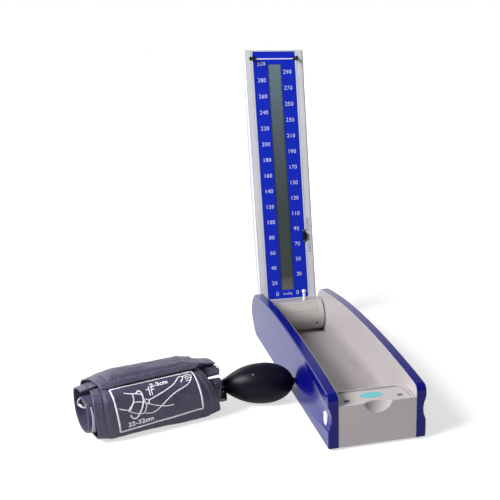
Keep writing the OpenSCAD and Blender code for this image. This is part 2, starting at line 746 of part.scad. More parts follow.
// Cells lie along the barrel, one under the cover and one behind it
cell1 = [-cell_out * sin(cover_mid), cell_out * cos(cover_mid)];
cell2 = [cell1[0] + cell2_step * sin(cover_mid), cell1[1] - cell2_step * cos(cover_mid)];
module cell(c) {
    translate([0, c[0], c[1]]) {
        xrod(cell_r, -cell_l / 2, cell_l / 2 - 1);
        xrod(1.9, cell_l / 2 - 1 - eps, cell_l / 2);
    }
}
module upper_cell() { color("goldenrod") place() on_column() cell(cell1); }
module lower_cell() { color("goldenrod") place() on_column() mirror([1, 0, 0]) cell(cell2); }
tray_end = cell_l / 2 + 2.6;
module battery_tray() {
    color("dimgray") place() on_column() difference() {
        intersection() {
            xrod(drum_r - drum_wall - 0.05, -tray_end - 1.6, tray_end + 1.6);
            rotate([cover_mid - 90, 0, 0]) box(-half_col, half_col, -cell_r - 1.8 - 30, cell_r + 1.8, -cell_r - 1.5, cell_r + 1.5);
        }
        yz(-tray_end, tray_end) {
            for (c = [cell1, cell2]) translate(c) circle(cell_r + 0.1);
            rotate(cover_mid - 90) translate([-60, -cell_r + 0.6]) square([60, 2 * cell_r - 1.2]);
        }
    }
}
module battery_contacts() {
    color("silver") place() on_column() for (s = [-1, 1], c = [cell1, cell2]) scale([s, 1, 1]) translate([0, c[0], c[1]]) {
        xrod(3.6, tray_end - 0.5, tray_end - 0.05);
        xrod(2, cell_l / 2 + 0.05, tray_end - 0.5 + eps);
    }
}

nozzle_x = 16.5;
nozzle_r = 1.8;
nozzle_l = 9;
module air_nozzle() {
    color("white") place() on_column() translate([nozzle_x, 0, 0]) difference() {
        union() {
            translate([0, 0, flat_u - drum_wall - 2]) cylinder(r = nozzle_r, h = nozzle_l + drum_wall + 3);
            translate([0, 0, flat_u]) cylinder(r = nozzle_r + 1.4, h = 0.9);
            translate([0, 0, flat_u + nozzle_l + 2]) sphere(r = nozzle_r + 1);
        }
        translate([0, 0, flat_u - drum_wall - 3]) cylinder(r = 0.8, h = nozzle_l + 20, $fn = 32);
    }
}
module pressure_sensor() {
    color("black") place() on_column() difference() {
        union() {
            box(nozzle_x - 6, nozzle_x + 6, -0.5, 9, flat_u - drum_wall - 8, flat_u - drum_wall - 3);
            translate([nozzle_x, 0, flat_u - drum_wall - 3 - eps]) cylinder(r = 3, h = 2.6);
            box(nozzle_x - 8, nozzle_x + 8, 9 - eps, face_d - drum_wall - 0.05, flat_u - drum_wall - 8, flat_u - drum_wall - 6.4);
        }
        translate([nozzle_x, 0, flat_u - drum_wall - 2]) cylinder(r = nozzle_r + 0.02, h = 9);
        translate([nozzle_x, 0, flat_u - drum_wall - 6]) cylinder(r = 0.8, h = 9, $fn = 32);
    }
}

// A padded sheet wound on an oval: a band between two curves, lofted along
// the roll. The ring of points goes out along the outer face and back along
// the inner one.
module wound_sheet(s0, s1, slant, phi0, phi1, nphi, ns) {
    ring = 2 * (nphi + 1);
    function edge(k) = (1 - cos(180 * min(1, min(k, nphi - k) / 1.6 + 0.12))) / 2;
    function at(i, phi) = s0 + (s1 - slant * up_share(phi) - s0) * i / ns;
    pts = [for (i = [0:ns]) each concat(
        [for (k = [0:nphi]) let (phi = phi0 + (phi1 - phi0) * k / nphi)
            roll_pt(at(i, phi), phi, cuff_t / 2 * (1 - edge(k)) * 0.7)],
        [for (k = [nphi:-1:0]) let (phi = phi0 + (phi1 - phi0) * k / nphi)
            roll_pt(at(i, phi), phi, cuff_t - cuff_t / 2 * (1 - edge(k)) * 0.7)])];
    sides = [for (i = [0:ns - 1], k = [0:ring - 1]) let (a = i * ring + k, b = i * ring + (k + 1) % ring)
        each [[a, b, b + ring], [a, b + ring, a + ring]]];
    caps = [for (k = [0:nphi - 1]) let (o0 = k, o1 = k + 1, i0 = ring - 1 - k, i1 = ring - 2 - k, t = ns * ring)
        each [[o0, i1, o1], [o0, i0, i1], [t + o0, t + o1, t + i1], [t + o0, t + i1, t + i0]]];
    polyhedron(points = pts, faces = concat(sides, caps), convexity = 6);
}
module cuff_outer_wrap() {
    color("slategray") place() on_cuff() wound_sheet(0, cuff_l, cuff_slant, roll_start - wrap_a, roll_start, 46, 6);
}
module cuff_inner_roll() {
    color("slategray") place() on_cuff()
        wound_sheet(-cuff_out, cuff_l + cuff_out_r - 4, -6, roll_end, roll_end + inner_a, 40, 6);
}
roll_end = roll_start - wrap_a - wrap_step - inner_a;
ring_r = 1.5;
ring_w = 13;
ring_s0 = -cuff_out - 4;
ring_s1 = cuff_l + cuff_out_r + 3;
ring_tilt = 20;
ring_seat = 0.15;
// Middle of the ring at its two ends: it lies on the inner end of the roll at
// the left, and under the roof of the hollow at the right.
function ring_left() = let (q = roll_pt(ring_s0, roll_end + 14, cuff_t))
    [ring_s0, q[1] + 0.85 * (ring_r + ring_seat) + ring_w / 2 * cos(ring_tilt),
        q[2] - 0.527 * (ring_r + ring_seat) + ring_w / 2 * sin(ring_tilt)];
function ring_right() = let (q = roll_pt(ring_s1, -270, cuff_t))
    [ring_s1, q[1] - 1.5 * ring_w / 2, q[2] - ring_r - 0.5 - ring_w / 2 * sin(ring_tilt)];
module cuff_ring() {
    v = ring_right() - ring_left();
    l = norm(v) - ring_w;
    color("silver") place() on_cuff() translate((ring_left() + ring_right()) / 2)
        rotate([0, 0, atan2(v[1], v[0])]) rotate([0, -asin(v[2] / norm(v)), 0]) rotate([ring_tilt, 0, 0]) {
            for (s = [-1, 1]) translate([-l / 2, s * ring_w / 2, 0]) rotate([0, 90, 0]) cylinder(r = ring_r, h = l, $fn = 32);
            for (s = [0, 1]) rotate([0, 0, 180 * s]) translate([l / 2, 0, 0]) rotate([0, 0, -90])
                rotate_extrude(angle = 180) translate([ring_w / 2, 0]) circle(ring_r, $fn = 32);
        }
}
tag_w = 5;
tag_h = 14;
module cuff_tag() {
    p = roll_pt(0, -178, cuff_t / 2);
    color("white") place() on_cuff() translate([-tag_w, p[1] - 0.3, p[2] - tag_h]) cube([tag_w - 0.02, 0.6, tag_h]);
}

// Pear-shaped bulb: a round front, and a back that tapers into the neck
taper_p = 2.3;
taper_l = 50;
neck_z = taper_l * pow(1 - neck_r / bulb_r, 1 / taper_p);
front_l = bulb_l - neck_z;
tip_z = front_l * sqrt(1 - pow(tip_r / bulb_r, 2));
function bulb_rad(z) = z > 0 ? bulb_r * sqrt(1 - pow(z / front_l, 2)) : bulb_r * (1 - pow(-z / taper_l, taper_p));
module bulb() {
    n = 36;
    color("black") place() on_bulb() rotate_extrude($fn = 72) difference() {
        union() {
            polygon(concat([[0, -neck_z]], [for (k = [0:n]) let (z = -neck_z + (neck_z + tip_z) * k / n) [bulb_rad(z), z]],
                [[0, tip_z]]));
            translate([0, -neck_z - neck_l]) square([neck_r, neck_l + eps]);
        }
        polygon(concat([[0, -neck_z + 6]], [for (k = [5:n - 2]) let (z = -neck_z + (neck_z + tip_z) * k / n)
            [bulb_rad(z) - bulb_wall, z]], [[0, tip_z - bulb_wall]]));
        translate([0, -neck_z - neck_l - 1]) square([valve_r, neck_l + 9]);
    }
}
module bulb_inlet_valve() {
    color("black") place() on_bulb() translate([0, 0, tip_z]) difference() {
        union() {
            cylinder(r = 3.4, h = 0.5);
            translate([0, 0, 0.5 - eps]) cylinder(r = 4.1, h = 1.1);
        }
        translate([0, 0, 0.7]) cylinder(r = 1.2, h = 5);
    }
}
valve_at = neck_z + neck_l + 0.05;
knob_at = valve_at + 2.8;
knob_low = 9;
module knob_axis() {
    translate([0, 0, knob_at]) rotate([0, 0, -knob_dir]) rotate([-90, 0, 0]) children();
}
module valve_body() {
    color("silver") place() on_bulb() rotate([180, 0, 0]) difference() {
        union() {
            translate([0, 0, neck_z - 4]) cylinder(r = valve_r, h = neck_l + 12);
            translate([0, 0, valve_at]) cylinder(r = valve_r + 1.4, h = 1.6);
            translate([0, 0, valve_at + 6]) cylinder(r = 2.2, h = valve_l - 6);
            for (k = [0:1]) translate([0, 0, valve_at + valve_l - 5 + 2.2 * k]) cylinder(r1 = 2.8, r2 = 2.2, h = 1.8);
            knob_axis() cylinder(r = 2.6, h = knob_low - 0.5);
        }
        cylinder(r = 1, h = valve_at + valve_l + 5, $fn = 32);
        knob_axis() cylinder(r = 1.55, h = 2 * knob_low);
    }
}
module valve_knob() {
    color("dimgray") place() on_bulb() rotate([180, 0, 0]) knob_axis() {
        translate([0, 0, 2]) cylinder(r = 1.5, h = knob_low);
        translate([0, 0, knob_low]) difference() {
            cylinder(r = knurl_r, h = knurl_l);
            for (k = [0:17]) rotate([0, 0, 20 * k]) translate([knurl_r + 0.15, 0, 1]) cylinder(r = 0.45, h = knurl_l, $fn = 16);
        }
    }
}

case_tub();
left_side_panel();
right_side_panel();
front_foot();
rear_feet();
bottom_cover();
cover_screws();
hinge_pins();
tray_inlay();
left_release_button();
right_release_button();
left_latch_slide();
right_latch_slide();
left_button_spring();
right_button_spring();
column_back_shell();
column_frame();
scale_plate();
display_glass();
display_module();
display_board();
column_screws();
left_latch_hook();
right_latch_hook();
switch_body();
switch_knob();
hinge_barrel();
left_barrel_cap();
right_barrel_cap();
battery_cover();
battery_tray();
upper_cell();
lower_cell();
battery_contacts();
air_nozzle();
pressure_sensor();
cuff_outer_wrap();
cuff_inner_roll();
cuff_ring();
cuff_tag();
bulb();
bulb_inlet_valve();
valve_body();
valve_knob();
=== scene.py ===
"""Looks for a desk blood pressure gauge: a folding display column on a storage
trough, with a rolled arm cuff and a squeeze bulb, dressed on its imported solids."""

import json
import math

import bmesh
import bpy
from bpy.props import FloatProperty, FloatVectorProperty, IntProperty, PointerProperty, StringProperty
from mathutils import Matrix, Vector, noise


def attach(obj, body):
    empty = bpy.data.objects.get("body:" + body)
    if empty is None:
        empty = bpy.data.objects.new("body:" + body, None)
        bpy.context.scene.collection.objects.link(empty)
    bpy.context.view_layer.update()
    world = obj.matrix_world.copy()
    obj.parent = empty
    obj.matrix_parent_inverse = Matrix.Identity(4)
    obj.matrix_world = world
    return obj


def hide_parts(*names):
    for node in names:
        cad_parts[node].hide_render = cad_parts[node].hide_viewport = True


bl_info = {
    "name": "Desk Blood Pressure Gauge",
    "version": (1, 0, 0),
    "blender": (4, 5, 0),
    "location": "3D View > Sidebar > Pressure Gauge",
    "description": "Finishes, prints and soft goods for a desk blood pressure gauge",
    "category": "Object",
}

MM = 0.001
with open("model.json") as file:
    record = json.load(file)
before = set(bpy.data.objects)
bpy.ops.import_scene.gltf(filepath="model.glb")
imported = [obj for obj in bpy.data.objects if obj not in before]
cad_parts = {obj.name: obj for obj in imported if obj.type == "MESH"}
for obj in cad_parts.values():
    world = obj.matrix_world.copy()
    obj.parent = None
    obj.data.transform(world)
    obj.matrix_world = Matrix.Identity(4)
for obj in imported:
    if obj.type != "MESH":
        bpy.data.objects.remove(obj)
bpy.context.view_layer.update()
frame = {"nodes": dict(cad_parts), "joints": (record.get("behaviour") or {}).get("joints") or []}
HINGE = Vector(next(j["pos_m"] for j in frame["joints"] if j["name"] == "column_hinge"))
UP_AXIS = Vector(next(j["axis"] for j in frame["joints"] if j["name"] == "switch_slide"))
COLUMN_AXES = Matrix((Vector((1, 0, 0)), UP_AXIS, Vector((1, 0, 0)).cross(UP_AXIS))).transposed()


def tint(red, green, blue):
    """A colour given as it shows on a screen, 0 to 255, as Blender's linear one."""
    return tuple(((v / 255 + 0.055) / 1.055) ** 2.4 if v > 10 else v / 255 / 12.92 for v in (red, green, blue))


# ---------------------------------------------------------------- settings

def colour_setting(name, about, *screen):
    """A colour that the sidebar shows, given as tint takes it."""
    return FloatVectorProperty(name=name, description=about, subtype="COLOR", size=3, min=0, max=1,
                               default=tint(*screen))


def length_setting(name, about, millimetres):
    """A length that the sidebar shows, kept in metres."""
    return FloatProperty(name=name, description=about, default=millimetres * MM, unit="LENGTH", precision=5)


def number_setting(name, about, value, **limits):
    """A plain number that the sidebar shows."""
    return FloatProperty(name=name, description=about, default=value, **limits)


class GaugeStageSettings(bpy.types.PropertyGroup):
    """Camera, lamps and floor."""
    camera_place: FloatVectorProperty(name="Camera place", description="Where the camera stands", size=3,
                                      subtype="TRANSLATION", default=(-0.25079, -0.72837, 0.37793))
    camera_turn: FloatVectorProperty(name="Camera turn", description="Camera rotation", subtype="EULER", size=3,
                                     default=tuple(math.radians(a) for a in (71.7522, 0.0602, -17.2094)))
    lens: number_setting("Lens", "Focal length in millimetres on a 36 mm sensor", 62.697, min=10)
    shift_x: number_setting("Shift X", "Sideways shift of the view", -0.19767)
    shift_y: number_setting("Shift Y", "Upward shift of the view", 0.13831)
    key_power: number_setting("Key lamp", "Power of the lamp on the left in watts", 78.0, min=0)
    rim_power: number_setting("Rim lamp", "Power of the lamp at the back left in watts", 5.0, min=0)
    room_light: number_setting("Room light", "Strength of the even light all round", 0.2, min=0)
    backdrop: number_setting("Backdrop", "How pale the backdrop is in reflections", 1.0, min=0, max=2)
    floor_size: length_setting("Floor size", "Side of the square floor", 14000.0)


class GaugeFinishSettings(bpy.types.PropertyGroup):
    """Colours of the moulded, printed and metal parts."""
    case: colour_setting("Case", "Warm grey moulded case", 178, 171, 172)
    column: colour_setting("Column", "Light grey column frame", 200, 201, 208)
    shell: colour_setting("Column back", "Grey shell behind the column frame", 170, 170, 180)
    barrel: colour_setting("Barrel", "Warmer grey of the hinge barrel", 172, 168, 166)
    panel: colour_setting("Side panels", "Deep blue side panels", 7, 11, 106)
    scale: colour_setting("Scale plate", "Blue plate behind the numbers", 18, 40, 178)
    print_white: colour_setting("White print", "Numbers and printed lines", 218, 221, 232)
    button: colour_setting("Buttons", "White release buttons", 216, 216, 220)
    inlay: colour_setting("Inlay", "Teal oval in the latch tray", 64, 176, 182)
    black: colour_setting("Black parts", "Hooks, switch and feet", 20, 19, 23)
    steel: colour_setting("Steel", "Screws, pins and springs", 176, 176, 180)
    word: colour_setting("Switch words", "Slate blue words beside the switch", 64, 80, 146)


class GaugePrintSettings(bpy.types.PropertyGroup):
    """Sizes of what is printed on the column."""
    digit_height: length_setting("Digit height", "Height of the scale numbers", 5.2)
    digit_squeeze: number_setting("Digit width", "Width of a number against the plain typeface", 0.98, min=0.4, max=1.2)
    left_labels: length_setting("Left numbers", "Distance of the even numbers from the middle", -17.2)
    right_labels: length_setting("Right numbers", "Distance of the odd numbers from the middle", 16.4)
    zero_mark: length_setting("Zero mark", "Height of the zero above the hinge line", 21.9)
    tick_step: length_setting("Tick step", "Distance between display marks", 2.0)
    word_height: length_setting("Word height", "Height of the switch words", 4.3)


class GaugeCuffSettings(bpy.types.PropertyGroup):
    """The rolled cuff and the bulb."""
    cloth: colour_setting("Cloth", "Purple-grey nylon", 72, 67, 92)
    tape: colour_setting("Binding", "Woven tape along the edges", 70, 65, 88)
    thread: colour_setting("Thread", "Stitches of the binding", 140, 138, 156)
    cuff_print: colour_setting("Cuff print", "White print on the cuff", 246, 246, 252)
    rubber: colour_setting("Rubber", "Black bulb", 14, 13, 26)
    chrome: colour_setting("Chrome", "Wire ring and valve", 206, 206, 212)
    tape_width: length_setting("Binding width", "Width of the tape on each face", 9.0)
    stitch_length: length_setting("Stitch length", "Length of one stitch", 2.6)
    stitch_step: length_setting("Stitch step", "Distance from stitch to stitch", 4.2)
    crease_depth: length_setting("Crease depth", "Height of the soft folds", 1.3)
    columns: IntProperty(name="Mesh columns", description="Divisions along the roll", default=96, min=20, max=200)
    size_text: StringProperty(name="Size range", description="Arm size printed on the cuff", default="22-32cm")
    gap_text: StringProperty(name="Gap", description="Distance from the elbow printed on the cuff", default="2-3cm")


# ---------------------------------------------------------------- materials

class Nodes:
    """Short calls that add nodes to a tree."""

    def __init__(self, tree):
        self.tree = tree

    def feed(self, node, sockets):
        """Gives a node's inputs their values, or links them to the outputs that feed them."""
        for key, value in sockets.items():
            if isinstance(value, bpy.types.NodeSocket):
                self.tree.links.new(value, node.inputs[key])
            else:
                node.inputs[key].default_value = value
        return node

    def add(self, kind, sockets=None, **settings):
        """A new node with its settings made and its inputs fed."""
        node = self.tree.nodes.new("ShaderNode" + kind)
        for key, value in settings.items():
            setattr(node, key, value)
        return self.feed(node, sockets or {})

    def maths(self, operation, a, b):
        """The result of an operation on two values."""
        return self.add("Math", {0: a, 1: b}, operation=operation).outputs["Value"]

    def span(self, value, start, stop, low, high):
        """The value, with start to stop mapped to low to high."""
        ends = {"From Min": start, "From Max": stop, "To Min": low, "To Max": high}
        return self.add("MapRange", {"Value": value, **ends}).outputs["Result"]


class Finish(Nodes):
    """A new material: its shader, the place that its textures read, and calls for what most finishes need."""

    def __init__(self, name, colour, roughness, metallic=0.0):
        self.mat = bpy.data.materials.new(name)
        self.mat.use_nodes = True
        super().__init__(self.mat.node_tree)
        self.colour = tuple(colour)
        self.shader({"Base Color": (*self.colour, 1), "Roughness": roughness, "Metallic": metallic})
        self.place = self.add("TexCoord").outputs["Object"]

    def shader(self, sockets):
        """Sets or links inputs of the shader."""
        self.feed(self.tree.nodes["Principled BSDF"], sockets)

    def noise(self, scale, detail, **more):
        """A noise in the object's own place."""
        return self.add("TexNoise", {"Vector": self.place, "Scale": scale, "Detail": detail, **more}).outputs["Fac"]

    def bump(self, height, strength, depth, **more):
        """The normal of a bump of that depth in millimetres."""
        return self.add("Bump", {"Height": height, "Strength": strength, "Distance": depth * MM,
                                 **more}).outputs["Normal"]

    def scaled(self, colour, factor):
        """A colour output times a value output, as the shader's colour."""
        toned = self.add("VectorMath", {0: colour, "Scale": factor}, operation="SCALE")
        self.shader({"Base Color": toned.outputs["Vector"]})

    def mottle(self, spread, size):
        """Slow, faint colour variation over a surface, as the shader's colour; gives its output."""
        share = self.span(self.noise(1 / size, 3.0, Roughness=0.6), 0.3, 0.7, 0.0, 1.0)
        darker, lighter = ((*(min(1.0, v * f) for v in self.colour), 1.0) for f in (1 - spread, 1 + spread))
        mix = self.add("Mix", {0: share, 6: darker, 7: lighter}, data_type="RGBA").outputs[2]
        self.shader({"Base Color": mix})
        return mix


def moulded(name, colour, roughness, grain=0.10, round_edge=0.5, coat=0.0, spread=0.035, ior=1.46):
    """Injection-moulded plastic: fine grain, faint mottling, softly rounded edges."""
    grain_size = 0.7 * MM
    look = Finish(name, colour, roughness)
    look.mottle(spread, 0.03)
    soft = look.add("Bevel", {"Radius": round_edge * MM}, samples=4).outputs["Normal"]
    look.shader({"IOR": ior, "Coat Weight": coat, "Coat Roughness": 0.08,
                 "Normal": look.bump(look.noise(1 / grain_size, 2.0), grain, 0.08, Normal=soft),
                 "Roughness": look.span(look.noise(60.0, 4.0), 0, 1, roughness * 0.94, roughness * 1.07)})
    return look.mat


def metal(name, colour, roughness):
    """Plated or turned metal."""
    look = Finish(name, colour, roughness, metallic=1.0)
    look.mottle(0.04, 0.006)
    look.shader({"Normal": look.bump(look.noise(900.0, 2.0), 0.05, 0.02)})
    return look.mat


def flat_ink(name, colour, roughness):
    """Screen-printed ink, very slightly uneven."""
    look = Finish(name, colour, roughness)
    look.mottle(0.03, 0.002)
    return look.mat


def display_finish(name, colour, roughness, foot, top):
    """The display window: lighter towards its top by a painted reflection, with a plain zone at its foot; foot and top
    lie up the column.
    """
    look = Finish(name, colour, roughness)
    height = look.add("VectorMath", {0: look.place, 1: tuple(UP_AXIS)}, operation="DOT_PRODUCT").outputs["Value"]
    base = HINGE.dot(UP_AXIS)
    ramp = look.add("ValToRGB", {"Fac": look.span(height, base + foot, base + top, 0, 1)})
    # The stops that grow lighter towards the top paint a reflection on the window
    stops = ((0.0, (100, 103, 94)), (0.045, (96, 101, 92)), (0.06, (66, 76, 74)), (0.35, (64, 76, 78)),
             (0.7, (86, 102, 109)), (1.0, (114, 136, 150)))
    dimmed = 0.87
    while len(ramp.color_ramp.elements) < len(stops):
        ramp.color_ramp.elements.new(0.5)
    for element, (where, value) in zip(ramp.color_ramp.elements, stops):
        element.position = where
        element.color = (*tint(*(dimmed * v for v in value)), 1)
    look.scaled(ramp.outputs["Color"], look.span(look.noise(2500.0, 1.0), 0, 1, 0.88, 1.12))
    look.shader({"Coat Weight": 0.6, "Coat Roughness": 0.05})
    return look.mat


def woven(name, colour, roughness, pitch, rib=False):
    """Nylon cloth: a plain weave on the piece's own cloth map, or a ribbed tape."""
    look = Finish(name, colour, roughness)
    cloth = look.add("UVMap", uv_map="cloth").outputs["UV"]
    toned = look.mottle(0.07, 0.012)
    waves = [look.add("TexWave", {"Vector": cloth, "Scale": scale / (pitch * MM) / 3.2, "Distortion": 0.6,
                                  "Detail": 1.0, "Detail Scale": 2.0}, bands_direction=direction).outputs["Fac"]
             for direction, scale in (("X", 1.0), ("Y", 0.35 if rib else 1.0))]
    both = look.maths("MULTIPLY", *waves)
    look.scaled(toned, look.span(both, 0, 1, 0.86, 1.12))
    pucker = look.bump(look.noise(120.0, 4.0), 0.8, 1.6)
    look.shader({"Normal": look.bump(both, 0.35, 0.12, Normal=pucker), "Sheen Weight": 0.15, "Sheen Roughness": 0.4})
    return look.mat


def rubber_finish(name, colour, roughness):
    """Moulded rubber with a satin skin and a dusting of bloom."""
    look = Finish(name, colour, roughness)
    look.mottle(0.15, 0.008)
    look.shader({"IOR": 1.22, "Normal": look.bump(look.noise(1800.0, 2.0), 0.18, 0.05),
                 "Roughness": look.span(look.noise(90.0, 4.0), 0, 1, 0.28, 0.46)})
    return look.mat


# Each finish: maker, colour (a setting, or a fixed one), roughness, what else its maker takes, solids that wear it
FINISH_TABLE = {
    "case plastic": (moulded, "finish.case", 0.32, {}, "case_tub bottom_cover"),
    "column plastic": (moulded, "finish.column", 0.34, {}, "column_frame battery_tray switch_body"),
    "shell plastic": (moulded, "finish.shell", 0.38, {}, "column_back_shell"),
    "barrel plastic": (moulded, "finish.barrel", 0.3, {"round_edge": 0.3},
                       "hinge_barrel left_barrel_cap right_barrel_cap battery_cover"),
    "panel plastic": (moulded, "finish.panel", 0.16, {"grain": 0.0, "spread": 0.01, "round_edge": 1.0,
                                                "ior": 1.34}, "left_side_panel right_side_panel"),
    "scale plate": (moulded, "finish.scale", 0.35, {"grain": 0.03, "round_edge": 0.2, "spread": 0.02,
                                              "ior": 1.25}, "scale_plate"),
    "white plastic": (moulded, "finish.button", 0.25, {"grain": 0.03, "coat": 0.3},
                      "left_release_button right_release_button air_nozzle"),
    "teal inlay": (moulded, "finish.inlay", 0.25, {"grain": 0.02, "coat": 0.4, "round_edge": 0.2},
                   "tray_inlay"),
    "black plastic": (moulded, "finish.black", 0.4, {"grain": 0.15, "round_edge": 0.3, "ior": 1.3},
                      "display_module left_latch_hook right_latch_hook switch_knob left_latch_slide "
                      "right_latch_slide pressure_sensor"),
    "foot rubber": (rubber_finish, "finish.black", 0.36, {}, "front_foot rear_feet"),
    "steel": (metal, "finish.steel", 0.3, {},
              "cover_screws hinge_pins left_button_spring right_button_spring column_screws"),
    "chrome": (metal, "cuff.chrome", 0.09, {}, "cuff_ring"),
    "blackened metal": (metal, tint(70, 68, 74), 0.25, {}, "valve_body valve_knob"),
    "display window": (display_finish, tint(92, 110, 112), 0.16, {"foot": 0.0319, "top": 0.3211}, "display_glass"),
    "circuit board": (moulded, tint(40, 96, 62), 0.5, {}, "display_board"),
    "cell wrap": (moulded, tint(60, 66, 84), 0.3, {"grain": 0.02}, "upper_cell lower_cell"),
    "bulb rubber": (rubber_finish, "cuff.rubber", 0.36, {}, "bulb bulb_inlet_valve"),
    "contact strip": (metal, tint(196, 188, 160), 0.3, {}, "battery_contacts"),
    "tag ribbon": (flat_ink, tint(178, 180, 204), 0.5, {}, "cuff_tag"),
    "white print": (flat_ink, "finish.print_white", 0.5, {}, ""),
    "display marks": (flat_ink, tint(16, 21, 24), 0.5, {}, ""),
    "switch ink": (flat_ink, "finish.word", 0.5, {}, ""),
    "cuff cloth": (woven, "cuff.cloth", 0.46, {"pitch": 0.55}, ""),
    "cuff binding": (woven, "cuff.tape", 0.45, {"pitch": 0.8, "rib": True}, ""),
    "thread": (flat_ink, "cuff.thread", 0.6, {}, ""),
    "cuff print": (flat_ink, "cuff.cuff_print", 0.5, {}, ""),
    # Dark grey of the painted shade lines at the tray's bead and front rim
    "groove line": (flat_ink, tint(92, 88, 94), 0.6, {}, ""),
    # Grey of the painted shade lines along the column frame's crease
    "seam line": (flat_ink, tint(150, 150, 162), 0.5, {}, ""),
    "mould mark": (flat_ink, tint(96, 96, 112), 0.4, {}, ""),
}
FINISHES = {}


def use(name):
    """The material of that name, made the first time it is asked for."""
    if name not in FINISHES:
        make, colour, roughness, more, _ = FINISH_TABLE[name]
        if isinstance(colour, str):
            group, key = colour.split(".")
            colour = getattr(getattr(bpy.context.scene, "gauge_" + group), key)
        FINISHES[name] = make(name, colour, roughness, **more)
    return FINISHES[name]


# ---------------------------------------------------------------- mesh helpers

def stand(name, data):
    """A new object in the scene."""
    thing = bpy.data.objects.new(name, data)
    bpy.context.scene.collection.objects.link(thing)
    return thing


def settle(name, bm, body, finishes, smooth=True, recalc=True):
    """Turns a finished bmesh into an object that rides on a body; finishes are names, in the order of their index."""
    if recalc:
        bmesh.ops.recalc_face_normals(bm, faces=bm.faces[:])
    mesh = bpy.data.meshes.new(name)
    bm.to_mesh(mesh)
    bm.free()
    for finish in finishes:
        mesh.materials.append(use(finish))
    for face in mesh.polygons:
        face.use_smooth = smooth
    piece = stand(name, mesh)
    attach(piece, body)
    return piece


def move(verts, rule):
    """Puts each vertex where the rule sends it."""
    for v in verts:
        v.co = rule(v.co)


def on_column(x, w, u):
    """A point given across, back from the hinge line and up the column, in metres."""
    back = Vector((0, UP_AXIS.z, -UP_AXIS.y))
    return HINGE + Vector((x, 0, 0)) + back * w + UP_AXIS * u


def curve_mesh(data):
    """The mesh of a curve or a text, as a bmesh; the curve is used up."""
    holder = stand(data.name, data)
    bpy.context.view_layer.update()
    mesh = bpy.data.meshes.new_from_object(holder.evaluated_get(bpy.context.evaluated_depsgraph_get()))
    bpy.data.objects.remove(holder)
    bpy.data.curves.remove(data)
    bm = bmesh.new()
    bm.from_mesh(mesh)
    bpy.data.meshes.remove(mesh)
    return bm


def lettering(words, height, squeeze=1.0, weight=0.0, thick=0.03, spread=1.0):
    """A word as a bmesh lying in XY, centred, its capitals of the given height."""
    capital_share = 0.73
    data = bpy.data.curves.new("lettering", "FONT")
    data.body = words
    data.size = height / capital_share
    data.align_x = "CENTER"
    data.resolution_u = 4
    data.offset = weight
    data.space_character = spread
    data.extrude = thick * MM
    bm = curve_mesh(data)
    low = min((v.co.y for v in bm.verts), default=0)
    high = max((v.co.y for v in bm.verts), default=0)
    move(bm.verts, lambda c: Vector((c.x * squeeze, c.y - (low + high) / 2, c.z)))
    return bm


def pour(target, source):
    """Adds one bmesh to another and frees it."""
    mesh = bpy.data.meshes.new("pour")
    source.to_mesh(mesh)
    source.free()
    target.from_mesh(mesh)
    bpy.data.meshes.remove(mesh)


def slab(bm, x0, x1, y0, y1, z0, z1):
    """A plain bar, added to a bmesh; returns its vertices."""
    made = bmesh.ops.create_cube(bm, size=1.0)["verts"]
    move(made, lambda c: Vector((x0 + (x1 - x0) * (c.x + 0.5), y0 + (y1 - y0) * (c.y + 0.5),
                                     z0 + (z1 - z0) * (c.z + 0.5))))
    return made


def sheet_of(bm, along, across):
    """A closed thin sheet made from a grid: each vertex with its two shares, 0 to 1, and whether it lies below."""
    made = bmesh.ops.create_grid(bm, x_segments=along, y_segments=across, size=0.5)["verts"]
    faces = {f for v in made for f in v.link_faces}
    grown = bmesh.ops.extrude_face_region(bm, geom=list(faces))["geom"]
    below = {g for g in grown if isinstance(g, bmesh.types.BMVert)}
    return {v: (v.co.x + 0.5, v.co.y + 0.5, v in below) for v in set(made) | below}


# Column print planes, as distances back from the hinge line
PLATE_W = 21.2 * MM
GLASS_W = 21.4 * MM
RAIL_W = 20.9 * MM
# How far a print's middle stands out of its plane
PRINT_LIFT = 0.04 * MM


def facing_column(x, u, w):
    """The placing of a flat print on the column front, at x and u, on the plane w."""
    return Matrix.Translation(on_column(x, w, u)) @ COLUMN_AXES.to_4x4()


# ---------------------------------------------------------------- the roll of the cuff

CUFF_PLACE = Matrix.Translation((-0.254, 0.0605, 0)) @ Matrix.Rotation(math.radians(14.6), 4, "Z")
CUFF_LONG = 128.0
CUFF_THICK = 4.4
CUFF_PITCH = 4.9
CUFF_OUT = 8.5
ROLL_DEEP = (32.0, 37.5)
ROLL_HIGH = (29.8, 27.5)
ROLL_POWER = 2.4
# The flap ends at ROLL_START, over the front; from there the cloth goes over the top and down the back
ROLL_START = 118.0
ROLL_FRONT = 236.0
WRAP_END = ROLL_START - 372.0
INNER_START = WRAP_END - 6.0
INNER_END = INNER_START - 320.0
CREASE = ROLL_START - 360.0
SLANT = 16.0
FLAP_CORNER = 9.0


def between(pair, s):
    """The value at s millimetres along the roll."""
    return pair[0] + (pair[1] - pair[0]) * s / CUFF_LONG


def bend(v, p):
    """A signed power, for the flattened oval."""
    return math.copysign(abs(v) ** p, v)


def up_share(phi):
    """How much of the slanted edge shows at that angle."""
    return ((1 + math.sin(math.radians(phi))) / 2) ** 1.3


def in_roll(s, phi, t):
    """A point of the roll in its own axes: s along it, at the angle phi, t below the outer face, in millimetres."""
    shrink = CUFF_PITCH * (ROLL_START - phi - ROLL_FRONT) / 360
    h0 = between(ROLL_HIGH, s) - CUFF_PITCH * (ROLL_START + 90 - ROLL_FRONT) / 360
    a = math.radians(phi)
    d = between(ROLL_DEEP, s) + (between(ROLL_DEEP, s) - shrink - t) * bend(math.cos(a), 2 / ROLL_POWER)
    h = h0 + (between(ROLL_HIGH, s) - shrink - t) * bend(math.sin(a), 2 / ROLL_POWER)
    return Vector((s, d, h))


def wound(s, phi, t):
    """The same point in the shared frame, in metres."""
    return CUFF_PLACE @ (in_roll(s, phi, t) * MM)


